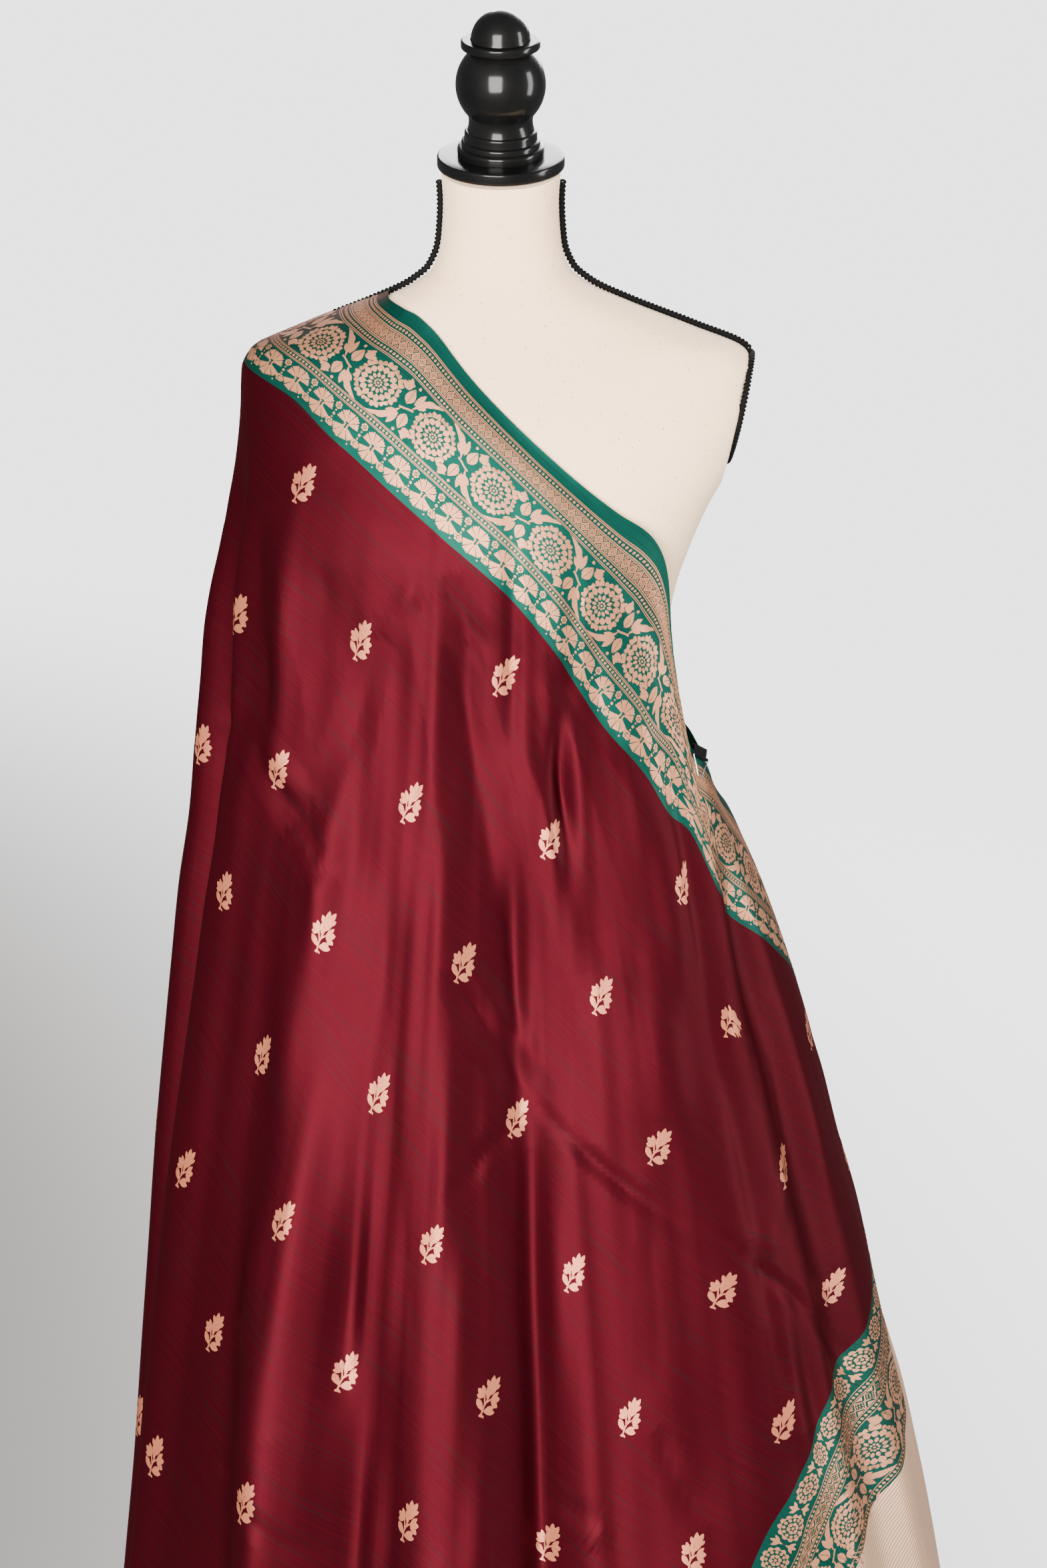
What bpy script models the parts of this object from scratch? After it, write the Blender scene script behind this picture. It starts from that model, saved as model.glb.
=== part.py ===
"""A silk sari draped over one shoulder of a limbless dress form.

Metres, +Z up. The front faces -Y. The origin is under the form's pole, on the floor.
Azimuth is measured round the pole from the front: 0 is the front, 90 the right side in
the picture, -90 the left side, 180 the back.
"""
import math

import bmesh
import bpy
import numpy as np
from mathutils import Matrix, Vector

# Driving sizes
WALL = 0.002                 # the cloth's wall
SEAM_GAP = 0.0003            # between two pieces that meet
FLOOR_GAP = 0.012            # hem above the floor
SEAM_AZ = -90.0              # front and back stretches meet on the left side
CLIP_AZ = 62.0               # the clip, on the right side of the front
CLIP_Z = 1.0705
BACK_END_AZ = -301.0         # the back stretch ends behind the clip, once round the back

NECK_TOP = 1.532
NECK_TILT = math.radians(15.0)
DISK_RADIUS = 0.0510
DISK_HEIGHT = 0.0095
SHOULDER_BOTTOM = 1.372
TORSO_BOTTOM = 0.700
POLE_RADIUS = 0.0125
BASE_RADIUS = 0.170
BASE_HEIGHT = 0.020
GIMP_RADIUS = 0.0027
GIMP_TOP = 1.520             # the neck braid starts here, under the disk
FLARE_Z = 1.450              # the neck flares into the shoulders here
ARM_TOP_X = 0.2005           # the flat armhole face leans in below its top
ARM_TOP_Z = 1.385
ARM_LEAN = 0.2176            # metres inward for each metre down

SQUARENESS = 2.25            # 2 is an ellipse, more is squarer

# The form: height, half width, front depth, back depth
FORM = (
    (1.532, 0.0480, 0.0545, 0.0455),
    (1.505, 0.0462, 0.0530, 0.0450),
    (1.475, 0.0480, 0.0510, 0.0480),
    (1.452, 0.0550, 0.0520, 0.0530),
    (1.440, 0.0700, 0.0540, 0.0580),
    (1.425, 0.1040, 0.0590, 0.0650),
    (1.405, 0.1560, 0.0660, 0.0720),
    (1.388, 0.1960, 0.0740, 0.0790),
    (1.372, 0.2060, 0.0820, 0.0830),
    (1.340, 0.2040, 0.0970, 0.0870),
    (1.300, 0.1900, 0.1100, 0.0890),
    (1.260, 0.1680, 0.1210, 0.0900),
    (1.225, 0.1530, 0.1260, 0.0890),
    (1.195, 0.1430, 0.1240, 0.0870),
    (1.150, 0.1350, 0.1150, 0.0830),
    (1.100, 0.1290, 0.1040, 0.0770),
    (1.050, 0.1250, 0.0940, 0.0720),
    (1.000, 0.1240, 0.0890, 0.0700),
    (0.950, 0.1290, 0.0890, 0.0760),
    (0.900, 0.1430, 0.0940, 0.0920),
    (0.850, 0.1580, 0.1010, 0.1080),
    (0.800, 0.1680, 0.1070, 0.1180),
    (0.750, 0.1720, 0.1090, 0.1190),
    (0.700, 0.1710, 0.1070, 0.1150),
)

# The drape: height, left, right of the outer stretch, front, back, right of the inner one
DRAPE = (
    (1.460, 0.0780, 0.0600, 0.0610, 0.0660, 0.0600),
    (1.443, 0.1040, 0.0780, 0.0640, 0.0700, 0.0780),
    (1.425, 0.1380, 0.1130, 0.0680, 0.0740, 0.1130),
    (1.405, 0.1700, 0.1660, 0.0750, 0.0810, 0.1660),
    (1.388, 0.2020, 0.2060, 0.0830, 0.0880, 0.2060),
    (1.372, 0.2100, 0.2140, 0.0910, 0.0920, 0.2140),
    (1.340, 0.2115, 0.2120, 0.1060, 0.0960, 0.2120),
    (1.300, 0.2160, 0.2000, 0.1190, 0.0980, 0.1980),
    (1.260, 0.2235, 0.1800, 0.1300, 0.0990, 0.1770),
    (1.225, 0.2300, 0.1720, 0.1345, 0.1000, 0.1630),
    (1.195, 0.2360, 0.1660, 0.1345, 0.1010, 0.1540),
    (1.150, 0.2430, 0.1600, 0.1340, 0.1040, 0.1470),
    (1.100, 0.2500, 0.1590, 0.1380, 0.1100, 0.1440),
    (1.060, 0.2550, 0.1670, 0.1430, 0.1170, 0.1480),
    (1.009, 0.2600, 0.1880, 0.1500, 0.1270, 0.1660),
    (0.940, 0.2710, 0.2180, 0.1620, 0.1400, 0.1940),
    (0.880, 0.2780, 0.2400, 0.1720, 0.1520, 0.2150),
    (0.827, 0.2840, 0.2570, 0.1820, 0.1620, 0.2330),
    (0.715, 0.2960, 0.2860, 0.2030, 0.1840, 0.2620),
    (0.623, 0.3040, 0.3120, 0.2200, 0.2020, 0.2880),
    (0.534, 0.3120, 0.3330, 0.2360, 0.2180, 0.3090),
    (0.431, 0.3210, 0.3610, 0.2530, 0.2360, 0.3370),
    (0.310, 0.3340, 0.3850, 0.2700, 0.2540, 0.3600),
    (0.150, 0.3480, 0.4080, 0.2880, 0.2740, 0.3830),
    (0.010, 0.3600, 0.4220, 0.3000, 0.2880, 0.3970),
)
OUTER_STANDOFF = 0.018       # the pallu's fall stands off the back stretch by this
CLIP_PULL = 0.017            # the clip pulls the front out to a soft corner
CLIP_PULL_AZ = 12.0
CLIP_PULL_Z = 0.095
INNER_SET_BACK = 0.015       # the back stretch's end lies this far behind the front

# Folds: top height, azimuth there, bottom height, azimuth there,
# rise at the top, rise at the bottom, half width in degrees (a negative rise is a valley)
FRONT_FOLDS = (
    (1.34, -82.0, 1.05, -77.0, -0.006, -0.030, 7.0),
    (1.14, -77.0, 0.00, -81.0, -0.004, -0.022, 7.0),
    (1.12, -67.0, 0.00, -72.0, 0.010, 0.012, 8.0),
    (1.08, -49.0, 0.00, -36.0, 0.006, 0.030, 10.0),
    (1.02, -30.0, 0.00, -24.0, -0.006, -0.018, 9.0),
    (1.24, -23.0, 0.00, -6.0, 0.004, 0.034, 12.0),
    (1.04, 5.0, 0.00, 11.0, -0.008, -0.034, 12.0),
    (1.14, 30.0, 0.00, 36.0, 0.006, 0.022, 14.0),
    (1.06, 56.0, 0.00, 58.0, 0.008, 0.012, 7.0),
    (1.02, 65.0, 0.00, 70.0, -0.008, -0.012, 7.0),
    (0.98, 112.0, 0.00, 100.0, 0.004, 0.016, 14.0),
    (0.80, 150.0, 0.00, 135.0, 0.003, 0.014, 12.0),
)
BACK_FOLDS = (
    (1.20, -104.0, 0.00, -106.0, -0.008, -0.036, 9.0),
    (1.18, -124.0, 0.00, -122.0, 0.006, 0.022, 11.0),
    (1.16, -142.0, 0.00, -140.0, -0.006, -0.034, 11.0),
    (1.14, -160.0, 0.00, -160.0, 0.006, 0.020, 12.0),
    (1.10, -180.0, 0.00, -181.0, -0.006, -0.034, 12.0),
    (1.08, -214.0, 0.00, -212.0, -0.004, -0.022, 12.0),
    (1.02, -246.0, 0.00, -244.0, -0.003, -0.020, 13.0),
)

# Edges of the stretches: azimuth, height
FRONT_SELVEDGE = (
    (-90.0, 1.443), (-74.5, 1.438), (-51.5, 1.425), (-43.8, 1.416), (-15.2, 1.373),
    (5.2, 1.341), (18.7, 1.316), (40.0, 1.270), (49.4, 1.250), (55.2, 1.213),
    (57.4, 1.160), (58.3, 1.118), (59.0, 1.079), (60.4, 1.0740), (62.0, 1.0705), (65.2, 1.0625),
    (68.0, 1.054), (78.0, 1.030),
    (90.0, 1.000), (105.0, 0.930), (120.0, 0.855), (130.0, 0.810), (140.0, 0.765),
    (150.0, 0.720), (165.0, 0.655), (184.0, 0.585),
)
FRONT_BORDER_EDGE = (
    (-90.0, 1.380), (-87.5, 1.379), (-70.3, 1.360), (-54.9, 1.326), (-38.0, 1.290),
    (-18.1, 1.251), (1.9, 1.210), (19.5, 1.158), (34.6, 1.098), (44.0, 1.060),
    (48.6, 1.030), (53.6, 1.014), (57.7, 0.963), (65.4, 0.934), (76.9, 0.895),
    (90.0, 0.855), (105.0, 0.775), (115.0, 0.725), (125.0, 0.680), (135.0, 0.630),
    (150.0, 0.565), (165.0, 0.500), (184.0, 0.430),
)
BAND_INNER_EDGE = (
    (7.0, 0.012), (14.0, 0.100), (22.0, 0.200), (30.0, 0.300), (35.0, 0.365),
    (40.5, 0.423), (44.0, 0.455), (50.0, 0.489), (56.6, 0.530), (60.1, 0.546),
    (69.2, 0.564), (76.7, 0.582), (84.0, 0.604), (95.0, 0.644), (105.0, 0.684),
    (115.0, 0.725), (125.0, 0.770),
)
BAND_OUTER_EDGE = (
    (29.0, 0.012), (35.5, 0.115), (41.0, 0.200), (46.0, 0.270), (51.0, 0.335),
    (57.5, 0.401), (66.4, 0.430), (76.0, 0.452), (85.0, 0.472), (95.0, 0.506),
    (105.0, 0.546), (115.0, 0.590), (125.0, 0.636), (135.0, 0.680),
)
PALLU_END = (
    (102.0, 0.012), (112.0, 0.080), (124.0, 0.165), (136.0, 0.250), (148.0, 0.335),
    (160.0, 0.420), (172.0, 0.500), (184.0, 0.585),
)
BACK_SELVEDGE = (
    (-90.0, 1.443), (-105.5, 1.438), (-128.5, 1.425), (-136.2, 1.416), (-164.8, 1.373),
    (-185.2, 1.341), (-198.7, 1.316), (-220.0, 1.270), (-232.0, 1.245), (-245.0, 1.210),
    (-258.0, 1.165), (-270.0, 1.118), (-280.0, 1.082), (-288.0, 1.062), (-292.0, 1.059),
    (-294.8, 1.0625), (-298.0, 1.0705), (-301.0, 1.0770),
)
BACK_BORDER_EDGE = (
    (-90.0, 1.380), (-92.5, 1.379), (-109.7, 1.360), (-125.1, 1.326), (-142.0, 1.290),
    (-161.9, 1.251), (-181.9, 1.210), (-199.5, 1.158), (-214.6, 1.098), (-224.0, 1.060),
    (-240.0, 1.020), (-255.0, 0.990), (-270.0, 0.965), (-285.0, 0.950), (-301.0, 0.945),
)
# The cloth's own lower edge, which climbs to the left side, and the top of its border
LOWER_SELVEDGE = (
    (-58.0, 0.012), (-66.0, 0.030), (-75.0, 0.070), (-85.0, 0.170), (-95.0, 0.235),
    (-105.0, 0.250), (-120.0, 0.220), (-135.0, 0.160), (-150.0, 0.090), (-162.0, 0.035),
    (-170.0, 0.012),
)
LOWER_BORDER_EDGE = (
    (-25.0, 0.008), (-35.0, 0.060), (-45.0, 0.100), (-58.0, 0.150), (-66.0, 0.175),
    (-75.0, 0.220), (-85.0, 0.310), (-95.0, 0.370), (-105.0, 0.385), (-120.0, 0.360),
    (-135.0, 0.300), (-150.0, 0.225), (-165.0, 0.155), (-180.0, 0.090), (-195.0, 0.030),
    (-200.0, 0.012),
)
BLUNT_END = 0.010            # a stretch that tapers away ends at this height

# Colours and finishes: red, green, blue (linear), roughness, metallic
FINISHES = {
    "maroon_silk": (0.190, 0.012, 0.020, 0.42, 0.0),
    "zari_border": (0.300, 0.270, 0.170, 0.45, 0.4),
    "gold_tissue": (0.720, 0.560, 0.360, 0.45, 0.5),
    "canvas": (0.800, 0.700, 0.580, 0.85, 0.0),
    "black_lacquer": (0.010, 0.010, 0.010, 0.25, 0.0),
    "black_enamel": (0.012, 0.012, 0.013, 0.30, 0.0),
    "black_gimp": (0.012, 0.012, 0.012, 0.70, 0.0),
    "steel": (0.700, 0.700, 0.700, 0.30, 1.0),
}


def clear_scene():
    for thing in list(bpy.data.objects):
        bpy.data.objects.remove(thing, do_unlink=True)


def make_finish(name):
    red, green, blue, roughness, metallic = FINISHES[name]
    finish = bpy.data.materials.get(name) or bpy.data.materials.new(name)
    finish.use_nodes = True
    shader = finish.node_tree.nodes["Principled BSDF"]
    shader.inputs["Base Color"].default_value = (red, green, blue, 1.0)
    shader.inputs["Roughness"].default_value = roughness
    shader.inputs["Metallic"].default_value = metallic
    finish.diffuse_color = (red, green, blue, 1.0)
    return finish


def place(thing, collection, finish):
    """Put an object in the part's collection and give it its own material."""
    for other in list(thing.users_collection):
        other.objects.unlink(thing)
    collection.objects.link(thing)
    thing.data.materials.clear()
    thing.data.materials.append(make_finish(finish))
    if thing.type == "MESH":
        thing.data.shade_smooth()
        thing.data.set_sharp_from_angle(angle=math.radians(40))
    return thing


def column(table, index):
    return [row[index] for row in table]


def smooth_at(places, values, wanted):
    """Read a table on a smooth curve that never overshoots its rows."""
    places = np.asarray(places, float)
    values = np.asarray(values, float)
    if places[0] > places[-1]:
        places, values = places[::-1], values[::-1]
    step = np.diff(places)
    slope = np.diff(values) / step
    tangent = np.zeros(len(places))
    tangent[0], tangent[-1] = slope[0], slope[-1]
    before, after = slope[:-1], slope[1:]
    rising = before * after > 0
    near = 2 * step[1:] + step[:-1]
    far = step[1:] + 2 * step[:-1]
    inner = np.zeros(len(before))
    inner[rising] = (near + far)[rising] / (
        near[rising] / before[rising] + far[rising] / after[rising]
    )
    tangent[1:-1] = inner
    wanted = np.clip(wanted, places[0], places[-1])
    k = np.clip(np.searchsorted(places, wanted, side="right") - 1, 0, len(step) - 1)
    t = (wanted - places[k]) / step[k]
    return (
        (2 * t**3 - 3 * t**2 + 1) * values[k]
        + (t**3 - 2 * t**2 + t) * step[k] * tangent[k]
        + (3 * t**2 - 2 * t**3) * values[k + 1]
        + (t**3 - t**2) * step[k] * tangent[k + 1]
    )


def edge_height(edge, azimuth):
    return smooth_at(column(edge, 0), column(edge, 1), azimuth)


def ramp(value, start, end):
    """0 at start, 1 at end, with soft ends."""
    t = np.clip((value - start) / (end - start), 0.0, 1.0)
    return t * t * (3 - 2 * t)


def ring_radius(azimuth, left, right, front, back):
    side_part = np.sin(np.radians(azimuth))
    depth_part = np.cos(np.radians(azimuth))
    side = np.where(side_part < 0, left, right)
    depth = np.where(depth_part > 0, front, back)
    total = np.abs(side_part / side) ** SQUARENESS + np.abs(depth_part / depth) ** SQUARENESS
    return total ** (-1 / SQUARENESS)


def fold_rise(folds, azimuth, height):
    """How far the folds move the cloth out (or in) at a place."""
    rise = np.zeros(np.broadcast(azimuth, height).shape)
    for top, top_az, bottom, bottom_az, top_rise, bottom_rise, half_width in folds:
        down = np.clip((top - height) / (top - bottom), 0.0, 1.0)
        centre = top_az + (bottom_az - top_az) * down
        size = top_rise + (bottom_rise - top_rise) * down
        start = ramp(height, top, top - 0.10)
        across = np.clip(np.abs(azimuth - centre) / half_width, 0.0, 1.0)
        rise = rise + size * start * (0.5 + 0.5 * np.cos(math.pi * across))
    return rise


def drape_columns(height):
    heights = column(DRAPE, 0)
    return [smooth_at(heights, column(DRAPE, i), height) for i in range(1, 6)]


def outer_radius(azimuth, height):
    """The front stretch, which goes on round the right side to the back."""
    left, right, front, back, _ = drape_columns(height)
    plain = ring_radius(azimuth, left, right, front, back + OUTER_STANDOFF)
    near_clip = ((azimuth - CLIP_AZ) / CLIP_PULL_AZ) ** 2 + ((height - CLIP_Z) / CLIP_PULL_Z) ** 2
    return plain + fold_rise(FRONT_FOLDS, azimuth, height) + CLIP_PULL * np.exp(-near_clip)


def inner_radius(azimuth, height):
    """The back stretch, from the left side round the back to behind the clip."""
    left, _, front, back, right = drape_columns(height)
    plain = ring_radius(azimuth, left, right, front - INNER_SET_BACK, back)
    radius = plain + fold_rise(BACK_FOLDS, azimuth, height)
    lies_behind = outer_radius(azimuth + 360.0, height) - WALL - 2 * SEAM_GAP
    near_clip = ramp(azimuth, -270.0, -288.0) * np.exp(-(((height - CLIP_Z) / 0.080) ** 4))
    return radius + (lies_behind - radius) * near_clip


def on_surface(radius, azimuth, height):
    azimuth, height = np.broadcast_arrays(azimuth, height)
    r = radius(azimuth, height)
    turn = np.radians(azimuth)
    return np.stack([r * np.sin(turn), -r * np.cos(turn), height], axis=-1)


def outward(radius, azimuth, height):
    """The surface's unit normal, away from the form."""
    across = on_surface(radius, azimuth + 0.2, height) - on_surface(radius, azimuth - 0.2, height)
    down = on_surface(radius, azimuth, height - 0.0005) - on_surface(radius, azimuth, height + 0.0005)
    normal = np.cross(down, across)
    return normal / np.linalg.norm(normal, axis=-1, keepdims=True)


def even_heights(radius, azimuth, top, bottom, rows):
    """Heights between two edges, evenly spaced along the cloth."""
    fine = np.linspace(top, bottom, 120)
    points = on_surface(radius, azimuth, fine)
    length = np.concatenate([[0.0], np.cumsum(np.linalg.norm(np.diff(points, axis=0), axis=1))])
    wanted = np.linspace(SEAM_GAP / 2, length[-1] - SEAM_GAP / 2, rows + 1)
    return np.interp(wanted, length, fine)


def closed_wall(name, outside, inside, collection, finish):
    """One closed solid from an outer and an inner grid of points."""
    rows, columns = outside.shape[:2]
    mesh = bmesh.new()
    out = [[mesh.verts.new(outside[i, j]) for j in range(columns)] for i in range(rows)]
    inn = [[mesh.verts.new(inside[i, j]) for j in range(columns)] for i in range(rows)]
    for i in range(rows - 1):
        for j in range(columns - 1):
            mesh.faces.new((out[i][j], out[i + 1][j], out[i + 1][j + 1], out[i][j + 1]))
            mesh.faces.new((inn[i][j], inn[i][j + 1], inn[i + 1][j + 1], inn[i + 1][j]))
    border = [(0, j) for j in range(columns)]
    border += [(i, columns - 1) for i in range(1, rows)]
    border += [(rows - 1, j) for j in range(columns - 2, -1, -1)]
    border += [(i, 0) for i in range(rows - 2, 0, -1)]
    for (i, j), (k, m) in zip(border, border[1:] + border[:1]):
        mesh.faces.new((out[i][j], out[k][m], inn[k][m], inn[i][j]))
    bmesh.ops.recalc_face_normals(mesh, faces=mesh.faces)
    bmesh.ops.triangulate(mesh, faces=mesh.faces)
    data = bpy.data.meshes.new(name)
    mesh.to_mesh(data)
    mesh.free()
    return place(bpy.data.objects.new(name, data), collection, finish)


def is_wide(azimuth, top, bottom):
    return top(azimuth) - bottom(azimuth) >= BLUNT_END


def with_blunt_ends(columns, jobs):
    """Add a column where each tapering stretch ends, for every stretch of the same sheet."""
    extra = []
    for _, top, bottom, _, _ in jobs:
        for one, other in zip(columns, columns[1:]):
            if is_wide(one, top, bottom) == is_wide(other, top, bottom):
                continue
            thin, wide = (other, one) if is_wide(one, top, bottom) else (one, other)
            for _ in range(20):
                middle = (thin + wide) / 2
                if is_wide(middle, top, bottom):
                    wide = middle
                else:
                    thin = middle
            extra.append(wide)
    return sorted(set(columns + extra), reverse=columns[0] > columns[-1])


def stretch(name, radius, azimuths, top, bottom, rows, collection, finish):
    """One stretch of cloth between two edges, as a wall on its surface."""
    azimuths = [a for a in azimuths if is_wide(a, top, bottom)]
    middle = (azimuths[0] + azimuths[-1]) / 2
    inset = []
    for a in azimuths:
        is_end = a in (azimuths[0], azimuths[-1])
        shift = math.degrees(SEAM_GAP / 2 / float(radius(a, bottom(a)))) if is_end else 0.0
        inset.append(a + math.copysign(shift, middle - a))
    heights = np.array(
        [even_heights(radius, a, float(top(a)), float(bottom(a)), rows) for a in azimuths]
    ).T
    angles = np.broadcast_to(np.array(inset), heights.shape)
    outside = on_surface(radius, angles, heights)
    inside = outside - WALL * outward(radius, angles, heights)
    return closed_wall(name, outside, inside, collection, finish)


def azimuth_steps(*runs):
    """Columns: each run is a start, an end and the number of steps between them."""
    stops = []
    for start, end, steps in runs:
        stops += [start + (end - start) * k / steps for k in range(steps)]
    return stops + [runs[-1][1]]


FRONT_COLUMNS = azimuth_steps(
    (SEAM_AZ, 40.0, 34), (40.0, 54.0, 4), (54.0, 58.8, 4), (58.8, 65.2, 4), (65.2, 90.0, 6),
    (90.0, 184.0, 17),
)
BACK_COLUMNS = azimuth_steps(
    (SEAM_AZ, -200.0, 24), (-200.0, -290.0, 13), (-290.0, BACK_END_AZ, 5)
)


def front_selvedge(azimuth):
    return edge_height(FRONT_SELVEDGE, azimuth)


def front_border_edge(azimuth):
    return edge_height(FRONT_BORDER_EDGE, azimuth)


def band_inner(azimuth):
    return max(FLOOR_GAP, float(edge_height(BAND_INNER_EDGE, azimuth)))


def band_outer(azimuth):
    return max(FLOOR_GAP, float(edge_height(BAND_OUTER_EDGE, azimuth)))


def pallu_end(azimuth):
    return max(FLOOR_GAP, float(edge_height(PALLU_END, azimuth)))


def lower_border_edge(azimuth):
    return max(FLOOR_GAP, float(edge_height(LOWER_BORDER_EDGE, azimuth)))


def lower_selvedge(azimuth):
    return max(FLOOR_GAP, float(edge_height(LOWER_SELVEDGE, azimuth)))


def build_sheet(radius, columns, jobs, collection):
    columns = with_blunt_ends(columns, jobs)
    for name, top, bottom, rows, finish in jobs:
        stretch(name, radius, columns, top, bottom, rows, collection, finish)


def build_front(collection):
    def border_bottom(a):
        return max(float(front_border_edge(a)), pallu_end(a))

    def field_bottom(a):
        return max(lower_border_edge(a), band_inner(a))

    def band_top(a):
        return min(band_inner(a), float(front_border_edge(a)))

    def band_bottom(a):
        return min(band_outer(a), band_top(a))

    def gold_top(a):
        return min(band_outer(a), float(front_border_edge(a)))

    jobs = (
        ("sari_front_border", front_selvedge, border_bottom, 5, "zari_border"),
        ("sari_front_field", front_border_edge, field_bottom, 16, "maroon_silk"),
        ("sari_lower_border_front", lower_border_edge, lower_selvedge, 3, "zari_border"),
        ("sari_pallu_band", band_top, band_bottom, 4, "zari_border"),
        ("sari_pallu_gold", gold_top, pallu_end, 7, "gold_tissue"),
    )
    build_sheet(outer_radius, FRONT_COLUMNS, jobs, collection)


def build_back(collection):
    def selvedge(a):
        return edge_height(BACK_SELVEDGE, a)

    def border_edge(a):
        return edge_height(BACK_BORDER_EDGE, a)

    jobs = (
        ("sari_back_border", selvedge, border_edge, 5, "zari_border"),
        ("sari_back_field", border_edge, lower_border_edge, 14, "maroon_silk"),
        ("sari_lower_border_back", lower_border_edge, lower_selvedge, 3, "zari_border"),
    )
    build_sheet(inner_radius, BACK_COLUMNS, jobs, collection)


def form_point(azimuth, height):
    """A point of the form: its section, cut flat at the armholes, tilted at the neck."""
    heights = column(FORM, 0)
    width, front, back = (float(smooth_at(heights, column(FORM, i), height)) for i in (1, 2, 3))
    r = float(ring_radius(azimuth, width, width, front, back))
    turn = math.radians(azimuth)
    x, y = r * math.sin(turn), -r * math.cos(turn)
    widest = ARM_TOP_X - (ARM_TOP_Z - height) * ARM_LEAN
    x = max(-widest, min(widest, x))
    tilt = float(ramp(height, 1.44, NECK_TOP)) * math.tan(NECK_TILT)
    return Vector((x, y, height + y * tilt))


def build_torso(collection):
    """The canvas body: a loft between unlike sections, closed at both ends."""
    sides = 30
    steps = 12
    heights = [NECK_TOP + (SHOULDER_BOTTOM - NECK_TOP) * k / steps for k in range(steps)]
    steps = 16
    heights += [
        SHOULDER_BOTTOM + (TORSO_BOTTOM - SHOULDER_BOTTOM) * k / steps for k in range(steps + 1)
    ]
    mesh = bmesh.new()
    rings = [
        [mesh.verts.new(form_point(360.0 * k / sides, z)) for k in range(sides)] for z in heights
    ]
    for upper, lower in zip(rings, rings[1:]):
        for k in range(sides):
            n = (k + 1) % sides
            mesh.faces.new((upper[k], upper[n], lower[n], lower[k]))
    mesh.faces.new(rings[0][::-1])
    mesh.faces.new(rings[-1])
    bmesh.ops.recalc_face_normals(mesh, faces=mesh.faces)
    data = bpy.data.meshes.new("form_torso")
    mesh.to_mesh(data)
    mesh.free()
    return place(bpy.data.objects.new("form_torso", data), collection, "canvas")


def turned(name, profile, collection, finish, steps=32):
    """A turned piece: its profile of (radius, height), top to bottom, with a Screw modifier."""
    data = bpy.data.meshes.new(name)
    data.from_pydata(
        [(r, 0.0, z) for r, z in profile], [(k, k + 1) for k in range(len(profile) - 1)], []
    )
    piece = bpy.data.objects.new(name, data)
    screw = piece.modifiers.new("Screw", "SCREW")
    screw.steps = steps
    screw.render_steps = steps
    screw.use_merge_vertices = True
    screw.merge_threshold = 0.00001
    screw.use_smooth_shade = True
    return place(piece, collection, finish)


def arc(centre_r, centre_z, radius, start, end, steps):
    """Points on an arc of a profile; the angles are in degrees from outward."""
    turns = [math.radians(start + (end - start) * k / steps) for k in range(steps + 1)]
    return [(centre_r + radius * math.cos(t), centre_z + radius * math.sin(t)) for t in turns]


def tilt_onto_neck(piece, height):
    """Stand a turned piece on the tilted neck, so far above the neck's top."""
    lean = Matrix.Rotation(NECK_TILT, 4, "X")
    piece.matrix_world = Matrix.Translation((0.0, 0.0, NECK_TOP)) @ lean @ Matrix.Translation(
        (0.0, 0.0, height)
    )


def build_neck_top(collection):
    """The black neck disk and the turned finial on it."""
    chamfer = 0.001
    disk = [
        (0.0, DISK_HEIGHT), (DISK_RADIUS - chamfer, DISK_HEIGHT),
        (DISK_RADIUS, DISK_HEIGHT - chamfer), (DISK_RADIUS, chamfer),
        (DISK_RADIUS - chamfer, 0.0), (0.0, 0.0),
    ]
    tilt_onto_neck(turned("form_neck_disk", disk, collection, "black_lacquer", 40), 2 * SEAM_GAP)
    ball_radius, ball_height = 0.0358, 0.0570
    profile = [(0.0, 0.116)]
    profile += arc(0.0, 0.0925, 0.0236, 70, 6, 4)
    profile += [(0.0240, 0.0930), (0.0298, 0.0930)]
    profile += [(0.0313, 0.0915), (0.0313, 0.0880), (0.0298, 0.0862), (0.0225, 0.0850)]
    profile += arc(0.0, ball_height, ball_radius, 46, -40, 8)
    profile += [(0.0262, 0.0320), (0.0255, 0.0290), (0.0258, 0.0240), (0.0268, 0.0200)]
    profile += [(0.0290, 0.0170), (0.0292, 0.0120), (0.0312, 0.0115), (0.0315, 0.0070)]
    profile += [(0.0340, 0.0062), (0.0348, 0.0040), (0.0345, 0.0), (0.0, 0.0)]
    finial = turned("form_finial", profile, collection, "black_lacquer", 16)
    tilt_onto_neck(finial, DISK_HEIGHT + 3 * SEAM_GAP)


def tube(name, points, radius, closed, collection, finish, sides=2):
    """A braid or wire: a poly curve with a round bevel and filled ends."""
    curve = bpy.data.curves.new(name, "CURVE")
    curve.dimensions = "3D"
    curve.bevel_depth = radius
    curve.bevel_resolution = sides
    curve.use_fill_caps = not closed
    spline = curve.splines.new("POLY")
    spline.points.add(len(points) - 1)
    for point, place_at in zip(spline.points, points):
        point.co = (*place_at, 1.0)
    spline.use_cyclic_u = closed
    thing = bpy.data.objects.new(name, curve)
    return place(thing, collection, finish)


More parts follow.
